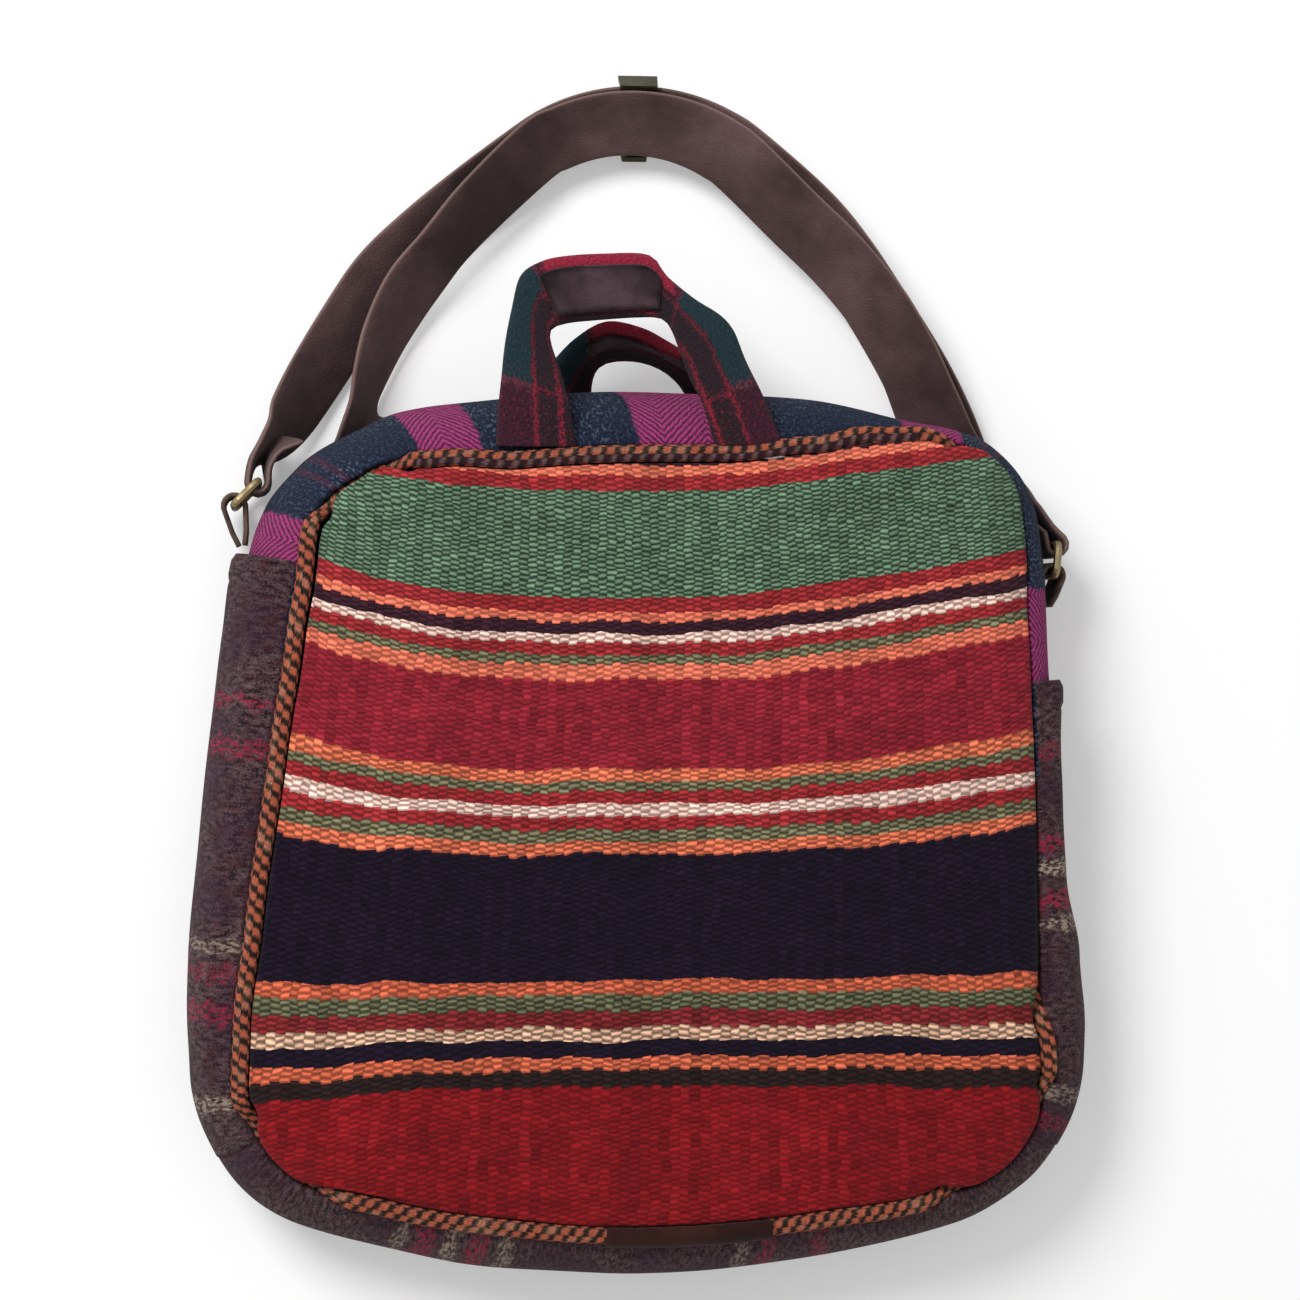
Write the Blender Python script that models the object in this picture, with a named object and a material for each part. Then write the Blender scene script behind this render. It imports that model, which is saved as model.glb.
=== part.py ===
"""Kilim crossbody bag, lying on its back with its shoulder strap laid in two turns.

Metres. X runs to the bag's right, Y towards its top, and Z up through its thickness.
The origin is on the flat back panel, at the middle of the bag.
"""

import math

import bmesh
import bpy
from mathutils import Matrix, Vector

# Body outline, seen square on to the front panel
BODY_TOP_Y = 0.150
BODY_BOTTOM_Y = -0.150
TOP_EDGE_RADIUS = 0.520
BOTTOM_LEFT_RADIUS = 0.325
BOTTOM_RIGHT_RADIUS = 0.400
LEFT_HALF_WIDTH = 0.1490
LEFT_WIDEST_Y = -0.062
LEFT_SIDE_RADIUS = 0.700
RIGHT_HALF_WIDTH = 0.1505
RIGHT_WIDEST_Y = -0.100
RIGHT_SIDE_RADIUS = 1.400
TOP_LEFT_CORNER = 0.062
TOP_RIGHT_CORNER = 0.046
BOTTOM_LEFT_CORNER = 0.055
BOTTOM_RIGHT_CORNER = 0.058
# How far the soft sides swell or sink from that outline: height over the bag's middle, and amount
LEFT_SWELL = (
    (0.110, 0.0),
    (0.080, 0.0010),
    (0.035, -0.0010),
    (0.000, -0.0012),
    (-0.040, 0.0),
)
RIGHT_SWELL = (
    (0.085, 0.0),
    (0.045, -0.0020),
    (0.005, -0.0046),
    (-0.015, -0.0042),
    (-0.042, -0.0012),
    (-0.068, 0.0006),
    (-0.095, 0.0),
)

# Body section: the padded edge is a half ellipse between the panels
SEAM_HEIGHT = 0.057
BULGE = 0.028
CROWN = 0.006
GAP = 0.0003

# The top of the back rests on the strap that runs under it
STRAP_LIFT = 0.0075
LIFT_FROM_Y = 0.020
LIFT_TO_Y = 0.100

# The soft bag leans a little: its front panel sits to the right, its right corner is drawn up
SHIFT_BOTTOM = 0.0012
SHIFT_TOP = 0.0072
SHIFT_FROM_Y = -0.080
SHIFT_TO_Y = 0.090
RIGHT_CORNER_RISE = 0.006

# Cloth
PANEL_THICKNESS = 0.0024
GUSSET_THICKNESS = 0.0024
POCKET_THICKNESS = 0.0022
RIB_HEIGHT = 0.0006
POCKET_GAP = 0.0007
TAPE_GAP = 0.0007
# The outline is divided into pieces of this length on its sides, and this turn at its corners
DIVISION_LENGTH = 0.022
DIVISION_TURN = math.radians(10.0)

# Angles round the padded edge: 90 degrees is the front face, -90 the back face
PANEL_EDGE = math.radians(75.5)
PIPING_ANGLE = math.radians(67.0)
GUSSET_FRONT_EDGE = math.radians(59.0)
GUSSET_BACK_EDGE = math.radians(-68.0)
BACK_PANEL_EDGE = math.radians(-72.0)
PIPING_RADIUS = 0.003
# Along the top the front seam lies further in
TOP_SEAM_TURN = math.radians(5.0)
TOP_SEAM_REACH = 0.100
TOP_SEAM_FADE = 0.060
# On the right side the seam is rolled under: the welt sinks, and the panel's edge lies over it
TUCK_DEPTH = 0.006
TUCK_PANEL_TURN = math.radians(4.5)
TUCK_CLEARANCE_TURN = math.radians(3.0)
TUCK_TOP_Y = 0.140
TUCK_BOTTOM_Y = -0.078
TUCK_FADE = 0.022

# Kilim stripes from the top: colour, height and number of ribs
STRIPES = (
    ("purple", 0.0033, 1),
    ("orange", 0.0046, 1),
    ("red", 0.0033, 1),
    ("green", 0.0351, 4),
    ("red", 0.0046, 1),
    ("orange", 0.0027, 1),
    ("purple", 0.0040, 1),
    ("cream", 0.0036, 1),
    ("red", 0.0036, 1),
    ("green", 0.0033, 1),
    ("orange", 0.0043, 1),
    ("deep_red", 0.0295, 3),
    ("orange", 0.0043, 1),
    ("green", 0.0036, 1),
    ("red", 0.0036, 1),
    ("cream", 0.0043, 1),
    ("red", 0.0043, 1),
    ("green", 0.0036, 1),
    ("orange", 0.0043, 1),
    ("navy", 0.0421, 4),
    ("orange", 0.0046, 1),
    ("green", 0.0046, 1),
    ("red", 0.0060, 1),
    ("cream", 0.0050, 1),
    ("navy", 0.0046, 1),
    ("orange", 0.0053, 1),
    ("black", 0.0060, 1),
)
LAST_STRIPE = ("deep_red", 3)
PANEL_COLUMNS = 8
# Stripe ends against the stripe's middle: height above the panel's middle, rise at its ends
STRIPE_RISE = (
    (0.132, -0.0085),
    (0.084, 0.0085),
    (0.000, 0.0055),
    (-0.060, 0.0030),
    (-0.128, 0.0130),
)

# Gusset pieces and pockets
TOP_GUSSET_LEFT_Y = 0.062
TOP_GUSSET_RIGHT_Y = 0.020
LEFT_POCKET_LIP_Y = 0.0935
RIGHT_POCKET_LIP_Y = 0.0507
POCKET_BOTTOM_Y = -0.108
POCKET_HALF_ANGLE = math.radians(50.0)
LEFT_LIP_FLARE = 0.0010
RIGHT_LIP_FLARE = 0.0016
LIP_FLARE_LENGTH = 0.028
# The pocket's cloth thins out into its bottom seam
POCKET_TAPER_LENGTH = 0.055
POCKET_TAPER = 0.65

# Suede patch over the ends of the piping
PATCH_CENTRE_X = 0.014
PATCH_LENGTH = 0.058
PATCH_THICKNESS = 0.0010
PATCH_HALF_ANGLE = math.radians(72.0)

# Zip
ZIP_ANGLE = math.radians(-30.0)
ZIP_HALF_SLOT = 0.0055
SLOT_HALF_LENGTH = 0.080
ZIP_HALF_LENGTH = SLOT_HALF_LENGTH - 0.006
SLOT_CLOSING_LENGTH = 0.012
TOOTH_PITCH = 0.0036
TOOTH_WIDTH = 0.0015
TOOTH_REACH = 0.0009
BEAD_INNER = 0.0013
BEAD_OUTER = 0.0019
TEETH_DEPTH = 0.0032
TEETH_THICKNESS = 0.0022
TAPE_INNER = 0.0022
TAPE_OUTER = 0.0120
TAPE_THICKNESS = 0.0008
STOP_LENGTH = 0.0030
SLIDER_LENGTH = 0.0110
SLIDER_HALF_WIDTH = 0.0042
SLIDER_NOSE_HALF_WIDTH = 0.0034
SLIDER_PLATE = 0.0010
SLIDER_FLANGE = 0.0008
SLIDER_REST = ZIP_HALF_LENGTH - 0.005
BAIL_LENGTH = 0.0056
BAIL_WIDTH = 0.0016
BAIL_WIRE = 0.0010
BAIL_OPENING = 0.0032
PULLER_LENGTH = 0.0240
PULLER_WIDTH = 0.0060
PULLER_THICKNESS = 0.0012
PULLER_EYE = 0.0060

# Handles
HANDLE_THICKNESS = 0.0045
GRIP_THICKNESS = 0.0012
GRIP_OUTER_MARGIN = 0.0046
GRIP_INNER_MARGIN = 0.0020
REAR_GRIP_MARGIN = 0.0150

# Shoulder strap
STRAP_WIDTH = 0.025
STRAP_THICKNESS = 0.0026
STRAP_LEAN = 37.0
OUTER_TURN_CENTRE = (0.0012, 0.185)
OUTER_TURN_RADIUS = 0.060
OUTER_TURN_HEIGHT = 0.0123
INNER_TURN_INSET = 0.0015
INNER_TURN_RISE = 0.0055
INNER_TURN_SHIFT = (-0.0018, -0.0010)

# Strap slide
SLIDE_LENGTH = 0.0110
SLIDE_BAR = 0.0020
SLIDE_RAIL = 0.0018
SLIDE_CLEARANCE = 0.0005
SLIDE_BAR_THICKNESS = 0.0018

# Rings and tabs
RING_WIRE = 0.0014
RING_CORNER = 0.0022
RING_SIDE_CLEARANCE = 0.0004
LOOP_CLEARANCE = 0.0007
# Bars and roots are placed from the body's widest half on their side
LEFT_STRAP_BAR = Vector((0.0209 - LEFT_HALF_WIDTH, 0.1184, 0.0200))
LEFT_TAB_BAR = Vector((0.0130 - LEFT_HALF_WIDTH, 0.1105, 0.0200))
RIGHT_STRAP_BAR = Vector((RIGHT_HALF_WIDTH - 0.0058, 0.0982, 0.0195))
RIGHT_TAB_BAR = Vector((RIGHT_HALF_WIDTH - 0.0068, 0.0876, 0.0195))
TAB_WIDTH = 0.022
TAB_THICKNESS = 0.0018
TAB_HALF_GAP = 0.0028
LEFT_TAB_ROOT = Vector((0.0155 - LEFT_HALF_WIDTH, 0.0973, 0.0200))
RIGHT_TAB_ROOT = Vector((RIGHT_HALF_WIDTH - 0.0089, 0.0773, 0.0195))

COLOURS = {
    "green": (0.10, 0.20, 0.12),
    "red": (0.36, 0.04, 0.05),
    "deep_red": (0.22, 0.02, 0.03),
    "orange": (0.62, 0.14, 0.08),
    "cream": (0.72, 0.45, 0.36),
    "purple": (0.05, 0.02, 0.04),
    "navy": (0.015, 0.012, 0.028),
    "black": (0.030, 0.015, 0.013),
    "wool": (0.020, 0.030, 0.060),
    "tweed": (0.075, 0.050, 0.062),
    "plaid": (0.16, 0.02, 0.035),
    "suede": (0.090, 0.052, 0.052),
    "leather": (0.12, 0.080, 0.060),
    "tape": (0.012, 0.014, 0.022),
    "brass": (0.24, 0.19, 0.11),
    "dark_metal": (0.030, 0.032, 0.026),
}
METALS = ("brass", "dark_metal")


def smooth(value):
    """Smooth step from 0 to 1."""
    value = min(max(value, 0.0), 1.0)
    return value * value * (3.0 - 2.0 * value)


def polar(angle):
    return Vector((math.cos(angle), math.sin(angle), 0.0))


# Outline of the body, as arcs that meet tangent to tangent


def corner_centre(first, first_radius, second, second_radius, radius, upward):
    """Centre of the corner arc that touches two large arcs from inside."""
    reach = first_radius - radius
    other = second_radius - radius
    across = second - first
    distance = across.length
    along = (reach * reach - other * other + distance * distance) / (2.0 * distance)
    aside = math.sqrt(reach * reach - along * along)
    unit = across / distance
    normal = Vector((-unit.y, unit.x, 0.0))
    choices = [first + unit * along + normal * aside * side for side in (1.0, -1.0)]
    return max(choices, key=lambda point: point.x + (point.y if upward else -point.y))


def direction_angle(start, end):
    return math.atan2(end.y - start.y, end.x - start.x)


def half_outline(half_width, widest_y, side_radius, top_corner, bottom_corner, bottom_radius):
    """Arcs of one half, from the top's middle to the bottom's: centre, radius, angles."""
    top = Vector((0.0, BODY_TOP_Y - TOP_EDGE_RADIUS, 0.0))
    side = Vector((half_width - side_radius, widest_y, 0.0))
    bottom = Vector((0.0, BODY_BOTTOM_Y + bottom_radius, 0.0))
    upper = corner_centre(top, TOP_EDGE_RADIUS, side, side_radius, top_corner, True)
    lower = corner_centre(side, side_radius, bottom, bottom_radius, bottom_corner, False)
    top_end = direction_angle(top, upper)
    side_start = direction_angle(side, upper)
    side_end = direction_angle(side, lower)
    bottom_start = direction_angle(bottom, lower)
    return (
        (top, TOP_EDGE_RADIUS, math.pi / 2, top_end),
        (upper, top_corner, top_end, side_start),
        (side, side_radius, side_start, side_end),
        (lower, bottom_corner, side_end, bottom_start),
        (bottom, bottom_radius, bottom_start, -math.pi / 2),
    )


def arc_length(arc):
    return arc[1] * abs(arc[3] - arc[2])


RIGHT_SIDE = (RIGHT_HALF_WIDTH, RIGHT_WIDEST_Y, RIGHT_SIDE_RADIUS)
LEFT_SIDE = (LEFT_HALF_WIDTH, LEFT_WIDEST_Y, LEFT_SIDE_RADIUS)
HALVES = {
    1: half_outline(*RIGHT_SIDE, TOP_RIGHT_CORNER, BOTTOM_RIGHT_CORNER, BOTTOM_RIGHT_RADIUS),
    -1: half_outline(*LEFT_SIDE, TOP_LEFT_CORNER, BOTTOM_LEFT_CORNER, BOTTOM_LEFT_RADIUS),
}
HALF_LENGTHS = {side: sum(arc_length(arc) for arc in arcs) for side, arcs in HALVES.items()}
PERIMETER = HALF_LENGTHS[1] + HALF_LENGTHS[-1]
TOP_ARC_CENTRE = HALVES[1][0][0]


def divisions():
    """Distances clockwise from the top's middle that divide every arc evenly."""
    found = {0.0}
    for side, arcs in HALVES.items():
        walked = 0.0
        for arc in arcs:
            length = arc_length(arc)
            turn = abs(arc[3] - arc[2])
            pieces = max(1, round(length / DIVISION_LENGTH), round(turn / DIVISION_TURN))
            for piece in range(pieces):
                walk = walked + length * (piece + 1) / pieces
                found.add(walk if side > 0 else PERIMETER - walk)
            walked += length
    return sorted(distance for distance in found if distance < PERIMETER - 0.001)


DIVISIONS = divisions()


def stations(start, end, needed=()):
    """Distances from start to end, at the ends, where needed, and at the divisions between them."""
    shifted = [distance + turn * PERIMETER for turn in (-1, 0, 1) for distance in DIVISIONS]
    kept = [start, *needed, end]
    for distance in shifted:
        if start < distance < end and all(abs(distance - other) > 0.003 for other in kept):
            kept.append(distance)
    return sorted(kept)


def station(distance):
    """Side, arc centre, radius and angle at a distance clockwise from the top's middle."""
    distance %= PERIMETER
    side, walk = (1, distance) if distance <= HALF_LENGTHS[1] else (-1, PERIMETER - distance)
    for centre, radius, start, end in HALVES[side]:
        length = radius * abs(end - start)
        if walk <= length:
            return side, centre, radius, start + (end - start) * walk / length
        walk -= length
    return side, centre, radius, end


def lift(y):
    """Height of the back above the floor where the strap lies under it."""
    return STRAP_LIFT * smooth((y - LIFT_FROM_Y) / (LIFT_TO_Y - LIFT_FROM_Y))


def lean(point, share):
    """Moves a point of the front by the soft bag's lean."""
    slide = SHIFT_BOTTOM + (SHIFT_TOP - SHIFT_BOTTOM) * smooth(
        (point.y - SHIFT_FROM_Y) / (SHIFT_TO_Y - SHIFT_FROM_Y)
    )
    rise = RIGHT_CORNER_RISE * smooth(point.x / 0.1) * smooth(point.y / 0.12)
    return point + Vector((slide, rise, 0.0)) * share


def swell(side, y):
    """How far the soft side stands out at a height over the bag's middle."""
    points = RIGHT_SWELL if side > 0 else LEFT_SWELL
    for (high, high_out), (low, low_out) in zip(points, points[1:]):
        if low <= y <= high:
            return low_out + (high_out - low_out) * smooth((y - low) / (high - low))
    return 0.0


def rim(distance, angle, out=0.0):
    """Point on the padded edge before the lean."""
    side, centre, radius, turn = station(distance)
    reach = radius + (BULGE + out) * math.cos(angle) - BULGE
    reach += swell(side, centre.y + radius * math.sin(turn)) * math.cos(angle) ** 3
    x = side * (centre.x + reach * math.cos(turn))
    y = centre.y + reach * math.sin(turn)
    half = (SEAM_HEIGHT - lift(y)) / 2
    return Vector((x, y, lift(y) + half + (half + out) * math.sin(angle)))


def edge_point(distance, angle, out=0.0):
    """Point on the padded edge of the leaning bag."""
    return lean(rim(distance, angle, out), max(0.0, math.sin(angle)))


def side_distance(y, side, edge=None):
    """Signed distance along the outline at which one side, or an edge on it, has the height y."""
    low, high = 0.0, HALF_LENGTHS[side]
    for _ in range(40):
        middle = (low + high) / 2
        angle = edge(side * middle) if edge else 0.0
        if rim(side * middle, angle).y > y:
            low = middle
        else:
            high = middle
    return side * low


def seam_turn(distance):
    """Angle by which the front seam lies further in along the top."""
    near = abs((distance + PERIMETER / 2) % PERIMETER - PERIMETER / 2)
    return TOP_SEAM_TURN * (1.0 - smooth((near - TOP_SEAM_REACH) / TOP_SEAM_FADE))


TUCK_START = side_distance(TUCK_TOP_Y, 1)
TUCK_END = side_distance(TUCK_BOTTOM_Y, 1)


def tuck(distance, inset):
    """Share of the right side's roll, from 0 to 1, between its ends moved in by an inset."""
    distance %= PERIMETER
    rising = smooth((distance - TUCK_START - inset) / TUCK_FADE)
    return rising * smooth((TUCK_END - inset - distance) / TUCK_FADE)


def panel_edge(distance):
    """Angle of the panel's edge, which draws back where the welt sinks and then covers it."""
    sinking = tuck(distance, 0.0)
    drawn_back = TUCK_CLEARANCE_TURN * 4.0 * sinking * (1.0 - sinking)
    return PANEL_EDGE + seam_turn(distance) + drawn_back - TUCK_PANEL_TURN * tuck(distance, TUCK_FADE)


def back_edge(distance):
    return BACK_PANEL_EDGE


def piping_point(distance, out=0.0):
    return edge_point(distance, PIPING_ANGLE + seam_turn(distance), out - TUCK_DEPTH * tuck(distance, 0.0))


def inset(x, y):
    """Distance of a point inside the body's outline from that outline."""
    side = 1 if x >= 0 else -1
    point = Vector((abs(x), y, 0.0))
    found = []
    for centre, radius, start, end in HALVES[side]:
        turn = direction_angle(centre, point)
        if end - 0.001 <= turn <= start + 0.001:
            found.append(radius - (point - centre).length)
    return min(found) if found else BULGE


def face_height(x, y, front):
    """Height of the front or back face over a point of the plan."""
    share = max(0.0, 1.0 - inset(x, y) / BULGE)
    half = (SEAM_HEIGHT - lift(y)) / 2
    sign = 1.0 if front else -1.0
    return lift(y) + half + sign * half * math.sqrt(1.0 - share * share)


# Building blocks


def collection():
    name = "kilim_crossbody_bag"
    if name not in bpy.data.collections:
        made = bpy.data.collections.new(name)
        bpy.context.scene.collection.children.link(made)
    return bpy.data.collections[name]


def material(name, key):
    """A material of its own for one piece."""
    made = bpy.data.materials.new(name)
    made.use_nodes = True
    shader = made.node_tree.nodes["Principled BSDF"]
    metal = key in METALS
    shader.inputs["Base Color"].default_value = (*COLOURS[key], 1.0)
    shader.inputs["Roughness"].default_value = 0.35 if metal else 0.9
    shader.inputs["Metallic"].default_value = 1.0 if metal else 0.0
    made.diffuse_color = (*COLOURS[key], 1.0)
    return made


def add_object(name, mesh, colour, origin=None):
    """Links a finished mesh, smooth except at its sharp edges, with its origin on its axis."""
    mesh.shade_smooth()
    mesh.set_sharp_from_angle(angle=math.radians(40))
    if not mesh.materials:
        mesh.materials.append(material(name, colour))
    made = bpy.data.objects.new(name, mesh)
    if origin is not None:
        mesh.transform(Matrix.Translation(-origin))
        made.location = origin
    collection().objects.link(made)
    return made


def mesh_from(bm, name):
    bmesh.ops.recalc_face_normals(bm, faces=bm.faces[:])
    if bm.calc_volume(signed=True) < 0:
        bmesh.ops.reverse_faces(bm, faces=bm.faces[:])
    mesh = bpy.data.meshes.new(name)
    bm.to_mesh(mesh)
    bm.free()
    return mesh


def slab_mesh(columns, rows, outer, inner):
    """Closed sheet: a grid whose two faces are placed by two functions of column and row."""
    bm = bmesh.new()
    bmesh.ops.create_grid(bm, x_segments=columns, y_segments=rows, size=0.5)
    grown = bmesh.ops.extrude_face_region(bm, geom=bm.faces[:])
    lower = {item for item in grown["geom"] if isinstance(item, bmesh.types.BMVert)}
    for vert in bm.verts:
        column = round((vert.co.x + 0.5) * columns)
        row = round((vert.co.y + 0.5) * rows)
        vert.co = inner(column, row) if vert in lower else outer(column, row)
    return bm


def slab(name, colour, columns, rows, outer, inner):
    return add_object(name, mesh_from(slab_mesh(columns, rows, outer, inner), name), colour)


def tube(name, colour, points, radius, cyclic, resolution, origin=None):
    """Round cord or wire along points, made a mesh with its caps welded."""
    curve = bpy.data.curves.new(name, "CURVE")
    curve.dimensions = "3D"
    curve.bevel_depth = radius
    curve.bevel_resolution = resolution
    curve.use_fill_caps = True
    spline = curve.splines.new("POLY")
    spline.points.add(len(points) - 1)
    for target, point in zip(spline.points, points):
        target.co = (*point, 1.0)
    spline.use_cyclic_u = cyclic
    holder = bpy.data.objects.new(name + "_curve", curve)
    collection().objects.link(holder)
    graph = bpy.context.evaluated_depsgraph_get()
    mesh = bpy.data.meshes.new_from_object(holder.evaluated_get(graph))
    bpy.data.objects.remove(holder)
    bpy.data.curves.remove(curve)
    bm = bmesh.new()
    bm.from_mesh(mesh)
    bpy.data.meshes.remove(mesh)
    bmesh.ops.remove_doubles(bm, verts=bm.verts[:], dist=0.00001)
    return add_object(name, mesh_from(bm, name), colour, origin)


def through(points, step):
    """Points about one step apart on a smooth curve through tuples of any length."""
    made = []
    for index in range(len(points) - 1):
        before = points[max(index - 1, 0)]
        start, end = points[index], points[index + 1]
        after = points[min(index + 2, len(points) - 1)]
        pieces = max(1, round(math.dist(start[:3], end[:3]) / step))
        for piece in range(pieces):
            t = piece / pieces
            made.append(
                tuple(
                    0.5 * (2 * b + (c - a) * t + (2 * a - 5 * b + 4 * c - d) * t**2 + (3 * b - a - 3 * c + d) * t**3)
                    for a, b, c, d in zip(before, start, end, after)
                )
            )
    made.append(tuple(points[-1]))
    return made


def band_sections(centres, widths, thickness):
    """Centre, half-width vector and half-thickness vector along a band."""
    sections = []
    for index, (centre, width) in enumerate(zip(centres, widths)):
        ahead = centres[min(index + 1, len(centres) - 1)]
        behind = centres[max(index - 1, 0)]
        along = (ahead - behind).normalized()
        half = width - along * width.dot(along)
        half = half.normalized() * width.length
        sections.append((centre, half, along.cross(half).normalized() * thickness / 2))
    return sections


BAND_ACROSS = (-1.0, -0.9, 0.9, 1.0)
BAND_ROUND = (0.4, 1.0, 1.0, 0.4)


def band(name, colour, sections):
    """Flat band with eased edges."""

    def place(column, row, face):
        centre, half, rise = sections[column]
        return centre + half * BAND_ACROSS[row] + rise * BAND_ROUND[row] * face

    return slab(
        name,
        colour,
        len(sections) - 1,
        len(BAND_ACROSS) - 1,
        lambda column, row: place(column, row, 1.0),
        lambda column, row: place(column, row, -1.0),
    )


def band_patch(name, colour, sections, low, high, thickness):
    """Thin patch on a band's upper face, between two shares of its half width."""

    def place(column, row, height):
        centre, half, rise = sections[column]
        return centre + half * (low, high)[row] + rise + rise.normalized() * height

    return slab(
        name,
        colour,
        len(sections) - 1,
        1,
        lambda column, row: place(column, row, GAP + thickness),
        lambda column, row: place(column, row, GAP),
    )


# Panels


def stripe_rise(y):
    """Rise of a stripe's ends over its middle."""
    for (high, high_rise), (low, low_rise) in zip(STRIPE_RISE, STRIPE_RISE[1:]):
        if y >= low:
            return low_rise + (high_rise - low_rise) * min(1.0, (y - low) / (high - low))
    return STRIPE_RISE[-1][1]


def stripe_rows():
    """Height of each grid row, its relief, and the colour of the face below it."""
    top = rim(0.0, panel_edge(0.0)).y
    bottom = rim(HALF_LENGTHS[1], panel_edge(HALF_LENGTHS[1])).y
    used = sum(height for _, height, _ in STRIPES)
    stripes = STRIPES + ((LAST_STRIPE[0], top - bottom - used, LAST_STRIPE[1]),)
    rows = [(top, 0.0, stripes[0][0])]
    y = top
    for colour, height, ribs in stripes:
        for _ in range(ribs):
            rows.append((y - height / ribs / 2, RIB_HEIGHT, colour))
            y -= height / ribs
            rows.append((y, 0.0, colour))
    return rows


def row_points(y, columns, edge):
    """Plan points of one row, from the left seam to the right one; edge gives the seam's angle."""
    end_y = y + stripe_rise(y)
    left, right = (side_distance(end_y, side, edge) for side in (-1, 1))
    left = rim(left, edge(left))
    right = rim(right, edge(right))
    points = []
    for column in range(columns + 1):
        x = left.x + (right.x - left.x) * column / columns
        share = x / right.x if x > 0 else x / left.x
        edge = right.y if x > 0 else left.y
        points.append(Vector((x, y + (edge - y) * share * share, 0.0)))
    return points


def make_front_panel():
    """Kilim panel: every stripe a woven rib or a group of ribs that sags towards its middle."""
    rows = stripe_rows()
    plan = [row_points(y, PANEL_COLUMNS, panel_edge) for y, _, _ in rows]
    last = len(rows) - 1

    def surface(column, row, drop):
        point = plan[row][column]
        across = 2.0 * column / PANEL_COLUMNS - 1.0
        down = 2.0 * row / last - 1.0
        dome = CROWN * (1.0 - abs(across) ** 3) * (1.0 - abs(down) ** 3)
        relief = rows[row][1] * (0.0 if abs(across) == 1.0 else 1.0)
        height = face_height(point.x, point.y, True) + dome + relief - drop
        return lean(Vector((point.x, point.y, height)), math.sin(PANEL_EDGE))

    bm = slab_mesh(
        PANEL_COLUMNS,
        last,
        lambda column, row: surface(column, row, 0.0),
        lambda column, row: surface(column, row, PANEL_THICKNESS + rows[row][1]),
    )
    names = sorted({colour for _, _, colour in rows})
    heights = [y for y, _, _ in rows]
    for face in bm.faces:
        centre = face.calc_center_median()
        y = centre.y - stripe_rise(centre.y) * min(1.0, (centre.x / LEFT_HALF_WIDTH) ** 2)
        index = min(range(len(heights)), key=lambda row: abs(heights[row] - y))
        face.material_index = names.index(rows[index][2])
    mesh = mesh_from(bm, "front_panel")
    for colour in names:
        mesh.materials.append(material("kilim_" + colour, colour))
    return add_object("front_panel", mesh, "deep_red")


def make_back_panel():
    """Plain panel that the bag lies on, raised at its top where the strap passes under it."""
    columns, count = 12, 18
    top = rim(0.0, BACK_PANEL_EDGE).y
    bottom = rim(HALF_LENGTHS[1], BACK_PANEL_EDGE).y
    heights = [top + (bottom - top) * row / count for row in range(count + 1)]
    plan = [row_points(y, columns, back_edge) for y in heights]

    def surface(column, row, rise):
        point = plan[row][column]
        return Vector((point.x, point.y, face_height(point.x, point.y, False) + rise))

    return slab(
        "back_panel",
        "wool",
        columns,
        count,
        lambda column, row: surface(column, row, 0.0),
        lambda column, row: surface(column, row, PANEL_THICKNESS),
    )


# Gusset, pockets and piping


def gusset_band(name, colour, distances, rows, low, high):
    """Padded gusset cloth at the given distances; low and high give its edges' angles."""

    def place(column, row, out):
        distance = distances[column]
        angle = low(distance) + (high(distance) - low(distance)) * row / rows
        return edge_point(distance, angle, out)

    return slab(
        name,
        colour,
        len(distances) - 1,
        rows,
        lambda column, row: place(column, row, 0.0),
        lambda column, row: place(column, row, -GUSSET_THICKNESS),
    )


def slot_half_angle(distance):
    """Half of the zip slot's opening, as an angle round the padded edge."""
    closing = 1.0 if abs(distance) <= SLOT_HALF_LENGTH + 0.001 else 0.0
    return (GAP + (ZIP_HALF_SLOT - GAP) * closing) / BULGE


def make_gusset():
    """Top gusset in two halves with the zip between them, and the tweed band round the rest."""
    left = side_distance(TOP_GUSSET_LEFT_Y, -1)
    right = side_distance(TOP_GUSSET_RIGHT_Y, 1)
    closed = SLOT_HALF_LENGTH + SLOT_CLOSING_LENGTH
    distances = stations(left, right, (-closed, -SLOT_HALF_LENGTH, SLOT_HALF_LENGTH, closed))
    gusset_band(
        "top_gusset_front",
        "wool",
        distances,
        6,
        lambda distance: ZIP_ANGLE + slot_half_angle(distance),
        lambda distance: GUSSET_FRONT_EDGE + seam_turn(distance),
    )
    gusset_band(
        "top_gusset_rear",
        "wool",
        distances,
        3,
        lambda distance: GUSSET_BACK_EDGE,
        lambda distance: ZIP_ANGLE - slot_half_angle(distance),
    )
    gusset_band(
        "lower_gusset",
        "tweed",
        stations(right + GAP, PERIMETER + left - GAP),
        8,
        lambda distance: GUSSET_BACK_EDGE,
        lambda distance: GUSSET_FRONT_EDGE + seam_turn(distance),
    )


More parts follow.
